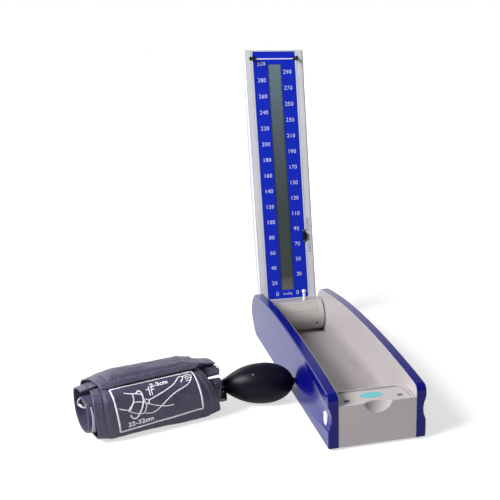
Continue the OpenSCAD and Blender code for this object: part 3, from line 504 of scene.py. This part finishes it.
def arc_table():
    """Distance along the cloth for each angle, at the middle of the roll."""
    table, total, last = [], 0.0, None
    for i in range(1440):
        p = wound(CUFF_LONG / 2, ROLL_START - i * 0.5, 0)
        total += (p - last).length / MM if last else 0
        last = p
        table.append((ROLL_START - i * 0.5, total))
    return table


ARC = arc_table()


def angle_at(q):
    """The angle that lies q millimetres of cloth from the flap's end."""
    low, high = 0, len(ARC) - 1
    if q <= 0:
        return ARC[0][0] + q * (ARC[1][0] - ARC[0][0]) / (ARC[1][1] - ARC[0][1])
    while high - low > 1:
        mid = (low + high) // 2
        if ARC[mid][1] > q:
            high = mid
        else:
            low = mid
    (p0, d0), (p1, d1) = ARC[low], ARC[high]
    return p0 + (p1 - p0) * (q - d0) / (d1 - d0)


def cloth_at(phi):
    """Millimetres of cloth from the flap's end to an angle."""
    i = max(0, min(len(ARC) - 2, int((ROLL_START - phi) / 0.5)))
    return ARC[i][1] + (ARC[i + 1][1] - ARC[i][1]) * ((ROLL_START - phi) / 0.5 - i)


CREASE_CLOTH = cloth_at(CREASE)
# How much thinner the cloth is at its hem, in millimetres
HEM = 2.3


def swell(s, q):
    """Soft folds of the outer layer, from about -0.3 to 1: long ones along the roll, and a few small puckers."""
    long = noise.noise(Vector((s * 0.014, q * 0.085, 3.1)))
    broad = noise.noise(Vector((s * 0.04 + q * 0.03, q * 0.035, 7.7)))
    slant = noise.noise(Vector((s * 0.05 - q * 0.09, q * 0.05 + s * 0.03, 5.2)))
    fine = noise.noise(Vector((s * 0.16, q * 0.13, 1.3)))
    crumple = 1 - 2.4 * abs(noise.noise(Vector((s * 0.028 + q * 0.02, q * 0.06 - s * 0.008, 9.4))))
    return 0.2 + long * 0.6 + broad * 0.35 + slant * 0.25 + fine * 0.18 + max(0.0, crumple) ** 2 * 0.4


# ---------------------------------------------------------------- soft goods helpers

def smooth_step(v, low, high):
    """0 below low, 1 above high, a soft rise between."""
    f = max(0.0, min(1.0, (v - low) / (high - low)))
    return f * f * (3 - 2 * f)


def edge_drop(gap):
    """How far the face of the cloth lies below its top at that distance from an edge."""
    radius = 1.1
    if gap >= radius:
        return 0.0
    return radius - math.sqrt(max(0.0, radius ** 2 - (radius - gap) ** 2))


def outer_left(phi):
    """The left edge of the outer wrap, which bows out a little on the front."""
    return 7.0 * smooth_step(phi, 45, 105) - 3.0 * math.exp(-((phi + 190) / 45) ** 2)


def outer_right(phi):
    """The right edge of the outer wrap, slanted towards the top."""
    return CUFF_LONG - SLANT * up_share(phi)


def inner_left(phi):
    """The left edge of the inner roll."""
    return -CUFF_OUT


def inner_right(phi):
    """The right edge of the inner roll."""
    return CUFF_LONG - 1 + 6 * up_share(phi)


def flap_angle(s, phi):
    """The flap's end runs at a slant: the last part over the top is sheared to follow it."""
    return phi + (9.4 - 0.11 * s) * smooth_step(phi, ROLL_START - 70, ROLL_START)


def lay_cloth(s, phi, t, outer):
    """A point of either layer in the shared frame: folds on the outer one, both settled at the left end."""
    over = smooth_step(math.sin(math.radians(phi)), 0.45, 1.0)
    if outer:
        free = smooth_step(phi, -246, -222) * (1 - smooth_step(phi, -128, -104)) + smooth_step(phi, -68, -40)
        rise = swell(s, cloth_at(phi)) * bpy.context.scene.gauge_cuff.crease_depth / MM * free
        # The padding sags on the floor below the print
        sag = 3.4 * math.exp(-((phi + 134) / 21) ** 2)
        t += (1 - smooth_step(s, -4, 36)) * over * 3.2 - rise * (1 - 0.75 * t / CUFF_THICK) - sag
        point = wound(s, flap_angle(s, phi), t)
    else:
        t += (1 - smooth_step(s, -9, 34)) * over * 4.6
        point = wound(s, phi, t)
    point.z = max(point.z, 0.25 * MM)
    return point


def stations(count, edge):
    """Places from 0 to 1 for the columns of a sheet, closer together at both edges; edge lists distances in mm."""
    def place(i, low, high):
        if i < len(edge):
            return low + edge[i]
        if count - i < len(edge):
            return high - edge[count - i]
        first, last = low + edge[-1], high - edge[-1]
        return first + (last - first) * (i - len(edge) + 1) / (count - 2 * len(edge) + 2)
    return place


def edge_gap(s, phi, left, right, ends):
    """Distance of a place on the sheet from its bound edge; ends lists the angles of the bound ends, each with a
    rounding radius for its corners."""
    side = min(s - left(phi), right(phi) - s)
    gap = side
    for end, radius in ends:
        off = abs(cloth_at(phi) - cloth_at(end))
        if off < radius and side < radius:
            gap = min(gap, radius - math.hypot(radius - off, radius - side))
        gap = min(gap, off)
    return gap


def wind_cloth(name, left, right, phi0, phi1, rows, outer, ends):
    """A padded sheet with taped edges: cut flat as a grid, given its thickness, then wound."""
    cuff = bpy.context.scene.gauge_cuff
    tape = cuff.tape_width / MM
    columns = cuff.columns
    edge = [0.0, 0.12, 0.4, 0.9, 1.7, 3.0, tape * 0.55, tape - 0.35, tape, tape + 0.5, tape + 1.8]
    place = stations(columns, edge)
    bm = bmesh.new()
    layer = bm.loops.layers.uv.new("cloth")
    shares = sheet_of(bm, columns, rows)
    q0, q1 = cloth_at(phi0), cloth_at(phi1)
    along = stations(rows, edge[:8])
    flat = {}
    for v, (f, g, below) in shares.items():
        i, k = round(f * columns), round(g * rows)
        phi = angle_at(along(k, q0, q1))
        s = place(i, left(phi), right(phi))
        # Rounded corners: columns near a bound end are drawn in towards the middle
        for end, radius in ends:
            off = abs(cloth_at(phi) - cloth_at(end))
            if off < radius:
                draw = radius - math.sqrt(radius ** 2 - (radius - off) ** 2)
                s += draw * (1 - i / columns * 2) * abs(1 - i / columns * 2)
        gap = edge_gap(s, phi, left, right, ends)
        end_gap = min(cloth_at(phi) - q0, q1 - cloth_at(phi))
        drop = edge_drop(min(gap, end_gap))
        # The hem is thin, the binding stands on it, and the padding rises behind
        hem = HEM * (1 - smooth_step(gap, 0.3, tape + 8))
        groove = 0.3 * (smooth_step(gap, tape - 0.4, tape) - smooth_step(gap, tape + 0.3, tape + 3.0))
        sewn = 0.25 * math.exp(-((gap - tape + 1.8) / 0.8) ** 2)
        inset = 0.15 + hem + groove + sewn + drop
        t = CUFF_THICK - 0.35 - drop * 0.6 if below else inset
        flat[v] = (s, phi, t, gap)
    for face in bm.faces:
        face.material_index = 1 if sum(flat[v][3] for v in face.verts) / len(face.verts) < tape + 0.1 else 0
        for loop in face.loops:
            s, phi, t, gap = flat[loop.vert]
            loop[layer].uv = (s * MM, cloth_at(phi) * MM)
    for v, (s, phi, t, gap) in flat.items():
        v.co = lay_cloth(s, phi, t, outer)
    return settle(name, bm, "cuff_set", ("cuff cloth", "cuff binding"))


def face_depth(gap):
    """How deep the cloth's face lies at that distance from a bound edge."""
    tape = bpy.context.scene.gauge_cuff.tape_width / MM
    return 0.15 + HEM * (1 - smooth_step(gap, 0.3, tape + 8))


def stitch_row(bm, path, along):
    """A row of stitches laid at the points of a path, each a small grain of thread turned along it."""
    for point, ahead, normal in path:
        made = bmesh.ops.create_uvsphere(bm, u_segments=6, v_segments=4, radius=1.0)["verts"]
        across = normal.cross(ahead).normalized()
        turn = Matrix((ahead.normalized(), across, normal.normalized())).transposed()
        move(made, lambda c: point + turn @ Vector((c.x * along / 2, c.y * 0.42 * MM, c.z * 0.3 * MM)))


def stitch_path(place, count):
    """Centre, direction and outward normal for each stitch of a row; place gives a point for a number and a lift."""
    rows = []
    for i in range(count):
        here, there, lifted = place(i + 0.5, 0.0), place(i + 0.8, 0.0), place(i + 0.5, 1.0)
        rows.append((here, there - here, lifted - here))
    return rows


def wire(points, width, cyclic=False):
    """A thin rounded line through flat points (s, q) in millimetres, as a bmesh in the flat cloth plane."""
    data = bpy.data.curves.new("line", "CURVE")
    data.dimensions = "3D"
    data.bevel_depth = width / 2
    data.bevel_resolution = 1
    data.use_fill_caps = True
    spline = data.splines.new("NURBS")
    spline.points.add(len(points) - 1)
    for p, (s, q) in zip(spline.points, points):
        p.co = (s, -q, 0, 1)
    spline.order_u = 3
    spline.use_cyclic_u = cyclic
    spline.use_endpoint_u = not cyclic
    spline.resolution_u = 8
    return curve_mesh(data)


def wind_print(bm, lift):
    """Lays a flat print, in millimetres below the crease, on the front of the outer wrap."""
    for v in bm.verts:
        s, q, z = v.co.x, -v.co.y, v.co.z
        phi = angle_at(CREASE_CLOTH - q)
        gap = min(s - outer_left(phi), outer_right(phi) - s)
        v.co = lay_cloth(s, phi, face_depth(gap) - lift - z, True)


# ---------------------------------------------------------------- operators

class GAUGE_OT_stage(bpy.types.Operator):
    """Lays the floor, hangs the lamps and stands the camera"""
    bl_idname = "gauge.stage"
    bl_label = "Stage"

    def execute(self, context):
        stage = context.scene.gauge_stage
        bm = bmesh.new()
        bmesh.ops.create_grid(bm, x_segments=4, y_segments=4, size=stage.floor_size / 2)
        mesh = bpy.data.meshes.new("floor")
        bm.to_mesh(mesh)
        bm.free()
        floor = stand("floor", mesh)
        look = Finish("pale floor", (0.5, 0.5, 0.51), 0.8)
        look.mottle(0.01, 0.05)
        # Seen directly the floor is nearly white, and wholly white further off
        away = look.add("VectorMath", {0: look.place}, operation="LENGTH").outputs["Value"]
        ray = look.add("LightPath").outputs
        direct = look.maths("MAXIMUM", ray["Is Camera Ray"], ray["Is Transmission Ray"])
        # Reflections aren't clipped: there the lit floor and half of the glow together make white
        any_ray = look.maths("MAXIMUM", direct, look.maths("MULTIPLY", ray["Is Glossy Ray"], 0.5))
        glow = look.maths("MULTIPLY", any_ray, look.span(away, 0.45, 0.9, 0.64, 1.1))
        look.shader({"Emission Color": (1, 1, 1, 1), "Emission Strength": glow})
        mesh.materials.append(look.mat)

        world = bpy.data.worlds.new("studio")
        context.scene.world = world
        world.use_nodes = True
        sky = Nodes(world.node_tree)
        ray = sky.add("LightPath").outputs
        way = sky.add("SeparateXYZ", {"Vector": sky.add("TexCoord").outputs["Generated"]}).outputs
        direct = sky.maths("MAXIMUM", ray["Is Camera Ray"], ray["Is Transmission Ray"])
        # Reflections that run backwards and low meet the pale backdrop of the studio
        standing = sky.maths("MULTIPLY", sky.span(way["Y"], 0.1, 0.5, 0.0, stage.backdrop),
                             sky.span(way["Z"], 0.35, 0.6, 1.0, 0.0))
        pale = sky.maths("MAXIMUM", direct, sky.maths("MULTIPLY", standing, ray["Is Glossy Ray"]))
        level = sky.span(pale, 0.0, 1.0, stage.room_light, 1.0)
        sky.feed(world.node_tree.nodes["Background"], {"Color": (1, 1, 1, 1), "Strength": level})

        for name, place, target, size, power in (
                ("key lamp", (-1.62, -0.38, 1.36), (-0.05, 0.12, 0.08), 0.9, stage.key_power),
                ("rim lamp", (-0.8, 1.5, 0.95), (0.0, 0.1, 0.04), 0.7, stage.rim_power)):
            lamp = bpy.data.lights.new(name, "AREA")
            lamp.shape = "SQUARE"
            lamp.size = size
            lamp.energy = power
            holder = stand(name, lamp)
            holder.location = place
            holder.rotation_euler = (Vector(target) - Vector(place)).to_track_quat("-Z", "Y").to_euler()

        lens = bpy.data.cameras.new("camera")
        lens.sensor_width = 36
        lens.lens = stage.lens
        lens.shift_x = stage.shift_x
        lens.shift_y = stage.shift_y
        lens.clip_start = 0.01
        eye = stand("camera", lens)
        eye.location = stage.camera_place
        eye.rotation_euler = stage.camera_turn
        context.scene.camera = eye
        context.scene.view_settings.view_transform = "Standard"
        return {"FINISHED"}


class GAUGE_OT_finishes(bpy.types.Operator):
    """Gives every moulded, printed and metal part its finish"""
    bl_idname = "gauge.finishes"
    bl_label = "Finishes"

    def execute(self, context):
        done = {"cuff_outer_wrap", "cuff_inner_roll"}
        for finish, (*_, solids) in FINISH_TABLE.items():
            for name in solids.split():
                materials = frame["nodes"][name].data.materials
                materials.clear()
                materials.append(use(finish))
                done.add(name)
        left = set(frame["nodes"]) - done
        if left:
            raise RuntimeError(f"no finish for {sorted(left)}")
        return {"FINISHED"}


class GAUGE_OT_scale_print(bpy.types.Operator):
    """Prints the numbers, the unit and the white line on the scale plate"""
    bl_idname = "gauge.scale_print"
    bl_label = "Scale print"

    def execute(self, context):
        sizes = context.scene.gauge_print
        plane = PLATE_W - PRINT_LIFT
        bm = bmesh.new()

        def put(words, x, u, height, squeeze):
            word = lettering(words, height, squeeze, weight=-0.008 * height, spread=1.08)
            bmesh.ops.transform(word, matrix=facing_column(x, u, plane), verts=word.verts[:])
            pour(bm, word)

        for value in range(20, 301, 10):
            x = sizes.left_labels if value % 20 == 0 else sizes.right_labels
            put(str(value), x, sizes.zero_mark + value * MM, sizes.digit_height, sizes.digit_squeeze)
        zero_row, unit_row, unit_height = 27.3 * MM, 26.4 * MM, 3.2 * MM
        for x in (-14.3, 13.0):
            put("0", x * MM, zero_row, sizes.digit_height * 1.08, sizes.digit_squeeze)
        put("mmHg", -0.4 * MM, unit_row, unit_height, 1.0)
        settle("scale_numbers", bm, "column", ("white print",), smooth=False, recalc=False)

        line = bmesh.new()
        half, low, high = 25.4 * MM, 327.4 * MM, 328.7 * MM
        slab(line, -half, half, low, high, -0.03 * MM, 0.03 * MM)
        move(line.verts, lambda c: on_column(c.x, plane - c.z, c.y))
        settle("scale_top_line", line, "column", ("white print",), smooth=False)
        return {"FINISHED"}


class GAUGE_OT_display_marks(bpy.types.Operator):
    """Draws the fine graduations along both edges of the display"""
    bl_idname = "gauge.display_marks"
    bl_label = "Display marks"

    def execute(self, context):
        step = context.scene.gauge_print.tick_step
        bm = bmesh.new()

        def bar(x0, x1, u0, u1):
            made = slab(bm, x0, x1, u0, u1, -0.015 * MM, 0.015 * MM)
            move(made, lambda c: on_column(c.x, GLASS_W - 0.03 * MM - c.z, c.y))

        start = context.scene.gauge_print.zero_mark + 10 * MM
        length, rim, inside, root, long_tip, short_tip = 0.289, 8.75, 8.3, 8.32, 6.0, 7.2
        count = int(length / step) + 1
        for side in (-1, 1):
            ends = sorted((side * rim * MM, side * inside * MM))
            bar(*ends, start, start + length)
            for i in range(count):
                u = start + i * step
                tips = sorted((side * root * MM, side * (long_tip if i % 5 == 0 else short_tip) * MM))
                bar(*tips, u - 0.42 * MM, u + 0.42 * MM)
        settle("display_graduations", bm, "column", ("display marks",), smooth=False)
        return {"FINISHED"}


class GAUGE_OT_switch_words(bpy.types.Operator):
    """Prints the words beside the slide switch, turned down the rail"""
    bl_idname = "gauge.switch_words"
    bl_label = "Switch words"

    def execute(self, context):
        bm = bmesh.new()
        turn = Matrix.Rotation(-math.pi / 2, 4, "Z")
        for words, x, u, spread in (("AUTO", 31.9, 115.8, 1.05), ("OFF", 32.4, 85.6, 1.3)):
            word = lettering(words, context.scene.gauge_print.word_height, 1.02, weight=0.02 * MM, spread=spread)
            place = facing_column(x * MM, u * MM, RAIL_W - PRINT_LIFT) @ turn
            bmesh.ops.transform(word, matrix=place, verts=word.verts[:])
            pour(bm, word)
        dash = slab(bm, 31.0 * MM, 33.2 * MM, 101.0 * MM, 101.6 * MM, -0.03 * MM, 0.03 * MM)
        move(dash, lambda c: on_column(c.x, RAIL_W - PRINT_LIFT - c.z, c.y))
        settle("switch_words", bm, "column", ("switch ink",), smooth=False, recalc=False)
        return {"FINISHED"}


class GAUGE_OT_cuff_wraps(bpy.types.Operator):
    """Winds the padded outer wrap and the inner roll of the cuff"""
    bl_idname = "gauge.cuff_wraps"
    bl_label = "Cuff wraps"

    def execute(self, context):
        outer = wind_cloth("cuff_outer_cloth", outer_left, outer_right, ROLL_START, WRAP_END, 210, True,
                           ((ROLL_START, FLAP_CORNER),))
        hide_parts("cuff_outer_wrap")
        inner = wind_cloth("cuff_inner_cloth", inner_left, inner_right, INNER_START, INNER_END, 130, False,
                           ((INNER_END, 4.0),))
        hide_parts("cuff_inner_roll")
        return {"FINISHED"}


class GAUGE_OT_cuff_seams(bpy.types.Operator):
    """Sews the rows of stitches along the bindings"""
    bl_idname = "gauge.cuff_seams"
    bl_label = "Cuff seams"

    def execute(self, context):
        cuff = context.scene.gauge_cuff
        tape, step = cuff.tape_width / MM, cuff.stitch_step / MM
        sew_in = tape - 1.8
        bm = bmesh.new()

        def side(edge, sign, phi0, phi1, outer):
            q0, q1 = cloth_at(phi0) + FLAP_CORNER, cloth_at(phi1) - 3

            def place(n, lift):
                phi = angle_at(q0 + n * step)
                return lay_cloth(edge(phi) + sign * sew_in, phi, face_depth(sew_in) + 0.2 - lift, outer)
            stitch_row(bm, stitch_path(place, int((q1 - q0) / step)), cuff.stitch_length)

        side(outer_left, 1, ROLL_START, CREASE - 2, True)
        side(outer_right, -1, ROLL_START, CREASE - 2, True)
        side(inner_left, 1, INNER_START, INNER_END, False)
        side(inner_right, -1, INNER_START, INNER_END, False)
        phi = angle_at(sew_in)

        def end(n, lift):
            return lay_cloth(outer_left(phi) + FLAP_CORNER + n * step, phi, face_depth(sew_in) + 0.2 - lift, True)
        count = int((outer_right(phi) - outer_left(phi) - 2 * FLAP_CORNER) / step)
        stitch_row(bm, stitch_path(end, count), cuff.stitch_length)
        settle("cuff_stitches", bm, "cuff_set", ("thread",), recalc=False)
        return {"FINISHED"}


class GAUGE_OT_cuff_print(bpy.types.Operator):
    """Prints the white frame, the arm drawing and the sizes on the cuff"""
    bl_idname = "gauge.cuff_print"
    bl_label = "Cuff print"

    def execute(self, context):
        cuff = context.scene.gauge_cuff
        flat = bmesh.new()

        def corner(p, a, b, r=3.0):
            """Points that round the corner p between the directions of a and b."""
            p = Vector(p)
            va, vb = ((Vector(q) - p).normalized() * r for q in (a, b))
            return [tuple(p + v) for v in (va, va * 0.25, vb * 0.25, vb)]

        box = [(15.4, 5.1), (101.3, 0.4), (105.2, 43.4), (20.0, 49.9)]
        ring = []
        for i, p in enumerate(box):
            before, after = box[i - 1], box[(i + 1) % 4]
            ring += corner(p, before, after)
            for k in range(1, 12):
                a, b = Vector(p), Vector(after)
                ring.append(tuple(a + (b - a) * (0.05 + 0.9 * k / 12)))
        pour(flat, wire(ring, 1.8, cyclic=True))
        lines = [
            # Upper arm and the wrapped band
            [(27.3, 11.9), (31.2, 13.4), (35.2, 13.9)],
            [(20, 25.8), (24.5, 27.6), (29, 28.9)],
            [(34.6, 13.8), (36.3, 17.5), (34.5, 22.7), (31.6, 26.3), (28.6, 29.5)],
            [(35.2, 13.9), (39.7, 14.7), (44, 16.2)],
            [(44, 16.2), (45.9, 22), (47.2, 27.3), (46.2, 31.6), (44.4, 35.2)],
            [(28.6, 29.5), (33.5, 32.5), (39.4, 34.8), (44.4, 35.2)],
            [(35.3, 22.1), (40.1, 22.8), (46.6, 24.1)],
            [(35.3, 22.1), (32.6, 26.3), (30.2, 30.1)],
            # Forearm and hand
            [(49.8, 22.9), (55.1, 21.2), (61.3, 19.3), (71, 15.6), (77.9, 12.2), (82.2, 8.2), (84.7, 5.3), (87.3, 4.3),
             (89.7, 5.4), (88.8, 7.9), (85.7, 11.5)],
            [(89.3, 5.6), (92.7, 4), (96.1, 3.4), (97.9, 4.5), (98, 6.6), (96.5, 10.9), (93.1, 14.3), (87.5, 17),
             (79.1, 19.5), (69, 25.5), (59.8, 32.8), (55.6, 35.5), (51.2, 36.7), (45.6, 35.6)],
            [(90.8, 7.3), (93.4, 6.1), (95.8, 5.7)],
            [(91.4, 9.4), (94.2, 8.4), (96.8, 8.2)],
            [(91.1, 11.6), (93.5, 10.8), (95.7, 10.9)],
            # Elbow and hose
            [(46.7, 21.1), (49.7, 22.3), (50.6, 24.7), (48.6, 26.5)],
            [(46.5, 25.1), (52.7, 27.9), (62.6, 31.3), (68.4, 32.3), (74.4, 32.3)],
            # Gap mark
            [(52.5, 9.6), (52.1, 18.9)],
            [(54.9, 9.4), (54.5, 18.8)],
            [(49, 12.4), (52.2, 12.7)],
            [(54.8, 12.9), (57.8, 13.4)],
        ]
        for points in lines:
            pour(flat, wire(points, 1.0))
        pour(flat, wire([(39, 14.3), (40.4, 12.5), (42.9, 12.1), (44.8, 15.6), (44.9, 22.7), (42, 30.7), (38, 38),
                         (34.2, 39), (31.3, 36.7), (30.8, 33.9)], 1.5))
        bmesh.ops.scale(flat, vec=(1, 1, 0.12), verts=flat.verts[:])
        for words, s, q, height, squeeze in ((cuff.gap_text, 63.5, 8.3, 4.3, 1.25),
                                             (cuff.size_text, 40.6, 42.9, 4.5, 1.2)):
            word = lettering(words, height, squeeze, weight=0.16, thick=60)
            bmesh.ops.triangulate(word, faces=word.faces[:])
            place = Matrix.Translation((s, -q, 0)) @ Matrix.Rotation(math.radians(4.6), 4, "Z")
            bmesh.ops.transform(word, matrix=place, verts=word.verts[:])
            pour(flat, word)
        wind_print(flat, 0.1)
        settle("cuff_print", flat, "cuff_set", ("cuff print",), recalc=False)
        return {"FINISHED"}


class GAUGE_OT_cuff_trim(bpy.types.Operator):
    """Folds the cloth sleeve round the wire ring and hangs the small white tag"""
    bl_idname = "gauge.cuff_trim"
    bl_label = "Cuff trim"

    def execute(self, context):
        # The ring lies between the roll's inner end on the left and the roof of the hollow on the right
        wire_r, wide, tilt = 1.5, 13.0, math.radians(20)
        off, half_y, half_z = wire_r + 0.15, wide / 2 * math.cos(tilt), wide / 2 * math.sin(tilt)
        a = in_roll(-CUFF_OUT - 4, INNER_END + 14, CUFF_THICK) + Vector((0, 0.85 * off + half_y, -0.527 * off + half_z))
        b = in_roll(CUFF_LONG + 6, -270, CUFF_THICK) + Vector((0, -0.75 * wide, -wire_r - 0.5 - half_z))
        v = b - a
        turn = (Matrix.Rotation(math.atan2(v.y, v.x), 4, "Z") @ Matrix.Rotation(-math.asin(v.z / v.length), 4, "Y")
                @ Matrix.Rotation(tilt, 4, "X"))
        place = Matrix.Translation((a + b) / 2) @ turn
        x0, x1 = -v.length / 2 + 3.5, v.length / 2 - 2

        def section(f, r):
            """A point of the flattened loop round both long wires, at the share f of its way."""
            f = 0.03 + 0.94 * f
            way = f * (2 * wide + 2 * math.pi * r)
            if way < wide / 2:
                return -way, -r
            way -= wide / 2
            if way < math.pi * r:
                return -wide / 2 - r * math.sin(way / r), -r * math.cos(way / r)
            way -= math.pi * r
            if way < wide:
                return -wide / 2 + way, r
            way -= wide
            if way < math.pi * r:
                return wide / 2 + r * math.sin(way / r), r * math.cos(way / r)
            return wide / 2 - (way - math.pi * r), -r

        bm = bmesh.new()
        layer = bm.loops.layers.uv.new("cloth")
        shares = sheet_of(bm, 60, 48)
        for face in bm.faces:
            for loop in face.loops:
                f, g, _ = shares[loop.vert]
                loop[layer].uv = ((f - 0.5) * 0.11, (g - 0.5) * 0.035)
        for vert, (f, g, below) in shares.items():
            y, z = section(g, 1.57 if below else 1.86)
            vert.co = CUFF_PLACE @ (place @ Vector((x0 + (x1 - x0) * f, y, z)) * MM)
        sleeve = settle("ring_sleeve", bm, "cuff_set", ("cuff cloth",))

        # A folded ribbon that hangs between the two layers at the left
        tag = bmesh.new()
        for vert, (g, f, below) in sheet_of(tag, 6, 40).items():
            s = -5.9 + (1.4 + 1.8 * f) * g + 0.3 * math.sin(f * 5)
            vert.co = wound(s, -202 + 50 * f, 2.6 + 0.5 * math.sin(f * 9) + (0.35 if below else 0))
        ribbon = settle("tag_ribbon", tag, "cuff_set", ("tag ribbon",))
        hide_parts("cuff_tag")
        return {"FINISHED"}


class GAUGE_OT_fine_lines(bpy.types.Operator):
    """Adds a black band of painted shade at the barrel's end, painted shade lines on the tray and a painted shade line
    along the column frame's crease
    """
    bl_idname = "gauge.fine_lines"
    bl_label = "Fine lines"

    def execute(self, context):
        # Painted shade: a black band in the step at each end of the barrel, where the gap to the case lies in shadow
        shade_band = bmesh.new()
        r, face, thinned, shade_band_in, shade_band_out = 19.45, 20.6, 0.965, 37.42, 38.1
        for side in (-1, 1):
            outline = [(-r * math.sin(math.radians(a)), r * math.cos(math.radians(a))) for a in range(0, 271, 5)]
            outline += [(face, 0), (face, r)]
            inner = [(w * thinned, u * thinned) for w, u in outline]
            x0, x1 = sorted((side * shade_band_in, side * shade_band_out))
            loops = []
            for points, x in ((outline, x0), (outline, x1), (inner, x1), (inner, x0)):
                loops.append([shade_band.verts.new(on_column(x * MM, w * MM, u * MM)) for w, u in points])
            for i in range(4):
                edges = []
                for loop in (loops[i], loops[(i + 1) % 4]):
                    for k, vert in enumerate(loop):
                        edges.append(shade_band.edges.get((vert, loop[k - 1])) or shade_band.edges.new((vert, loop[k - 1])))
                bmesh.ops.bridge_loops(shade_band, edges=edges)
        settle("barrel_seals", shade_band, "column", ("black plastic",), smooth=False)

        # Painted shade lines on the tray: along the inside of the bead, and behind the front rim, in millimetres from
        # the case's front
        case_front, tray_top, scoop_half = 12, 44.22, 13.2

        def strip(bm, points, width, z):
            """A flat line of the given width through points, in millimetres."""
            count = len(points)
            for vert, (f, g, under) in sheet_of(bm, count - 1, 1).items():
                k = round(f * (count - 1))
                ahead = (Vector(points[min(k + 1, count - 1)]) - Vector(points[max(k - 1, 0)])).normalized()
                q = Vector(points[k]) + Vector((-ahead.y, ahead.x)) * width * (g - 0.5)
                vert.co = Vector((q.x, q.y - case_front, z + (0.0 if under else 0.05))) * MM

        shade_lines = bmesh.new()
        half, back, round_r, gap = 37.6, 35.5, 11.0, 2.0
        ring = [(-half + gap, 7.4)]
        for k in range(13):
            a = math.radians(180 - 7.5 * k)
            ring.append((-half + round_r + (round_r - gap) * math.cos(a),
                         back - round_r + (round_r - gap) * math.sin(a)))
        ring += [(-x, y) for x, y in reversed(ring)]
        strip(shade_lines, ring, 0.7, tray_top)
        front = []
        for k in range(41):
            x = -35.6 + 71.2 * k / 40
            bulge = -16.888 + math.sqrt(24.03 ** 2 - x ** 2) if abs(x) < scoop_half else 3.2
            front.append((x, bulge + 0.45))
        strip(shade_lines, front, 0.8, tray_top)
        settle("tray_grooves", shade_lines, "case", ("groove line",), smooth=False)

        # Painted shade: grey lines along the crease where the frame meets its bevel
        crease_shade = bmesh.new()
        for side in (-1, 1):
            ends = sorted((side * 36.55 * MM, side * 36.95 * MM))
            made = slab(crease_shade, *ends, 22 * MM, 337.5 * MM, -0.02 * MM, 0.02 * MM)
            move(made, lambda c: on_column(c.x, RAIL_W - 0.03 * MM - c.z, c.y))
        settle("frame_seams", crease_shade, "column", ("seam line",), smooth=False)
        return {"FINISHED"}


class GAUGE_OT_bulb_details(bpy.types.Operator):
    """Adds the mould seam round the bulb and its small light mark"""
    bl_idname = "gauge.bulb_details"
    bl_label = "Bulb details"

    def execute(self, context):
        # The solid's profile in millimetres: largest radius, length and power of the tail, length of the front
        radius, tail, power, front, ends = 21.8, 50.0, 2.3, 31.449, (-41.0, 30.6)
        place = Matrix.Translation((-0.0822, 0.1229, radius * MM)) @ Matrix.Rotation(math.radians(-9), 4, "Z")

        def skin(z, turn, lift):
            """A point above the bulb's skin: z along its axis, turned round it from the top."""
            r = radius * math.sqrt(max(0.0, 1 - (z / front) ** 2)) if z > 0 else radius * (1 - (-z / tail) ** power)
            a = math.radians(turn)
            return place @ (Vector((z, (r + lift) * math.sin(a), (r + lift) * math.cos(a))) * MM)

        # Parting line of the mould, a fine ridge along both sides
        bm = bmesh.new()
        for turn in (-142.0, 38.0):
            for vert, (f, g, under) in sheet_of(bm, 72, 4).items():
                z = ends[0] + (ends[1] - ends[0]) * f
                vert.co = skin(z, turn + 2.6 * (g - 0.5), 0.14 * math.sin(math.pi * g) - (0.3 if under else 0.02))
        settle("bulb_parting_line", bm, "cuff_set", ("bulb rubber",))

        # Small light moulding mark on the near side
        bm = bmesh.new()
        made = bmesh.ops.create_uvsphere(bm, u_segments=16, v_segments=8, radius=1.0)["verts"]
        mark_at, mark_turn = -12, -42
        move(made, lambda c: skin(mark_at + 1.3 * c.x, mark_turn + 2.4 * c.y, 0.25 * c.z))
        settle("bulb_mark", bm, "cuff_set", ("mould mark",))
        return {"FINISHED"}


OPERATORS = (GAUGE_OT_stage, GAUGE_OT_finishes, GAUGE_OT_scale_print, GAUGE_OT_display_marks, GAUGE_OT_switch_words,
             GAUGE_OT_cuff_wraps, GAUGE_OT_cuff_seams, GAUGE_OT_cuff_print, GAUGE_OT_cuff_trim, GAUGE_OT_fine_lines,
             GAUGE_OT_bulb_details)


class GAUGE_PT_panel(bpy.types.Panel):
    """The steps that dress the gauge, in order"""
    bl_idname = "GAUGE_PT_panel"
    bl_label = "Pressure Gauge"
    bl_space_type = "VIEW_3D"
    bl_region_type = "UI"
    bl_category = "Pressure Gauge"

    def draw(self, context):
        for name in GROUPS:
            group = getattr(context.scene, name)
            box = self.layout.box()
            for key in group.bl_rna.properties.keys():
                if key not in ("rna_type", "name"):
                    box.prop(group, key)
        for operator in OPERATORS:
            self.layout.operator(operator.bl_idname)


GROUPS = {"gauge_stage": GaugeStageSettings, "gauge_finish": GaugeFinishSettings,
          "gauge_print": GaugePrintSettings, "gauge_cuff": GaugeCuffSettings}
CLASSES = (*GROUPS.values(), *OPERATORS, GAUGE_PT_panel)


def register():
    for cls in CLASSES:
        bpy.utils.register_class(cls)
    for key, group in GROUPS.items():
        setattr(bpy.types.Scene, key, PointerProperty(type=group))


def unregister():
    for key in GROUPS:
        delattr(bpy.types.Scene, key)
    for cls in reversed(CLASSES):
        bpy.utils.unregister_class(cls)


def main():
    """Dresses the whole gauge."""
    register()
    for operator in OPERATORS:
        area, name = operator.bl_idname.split(".")
        getattr(getattr(bpy.ops, area), name)()


if __name__ == "__main__":
    main()
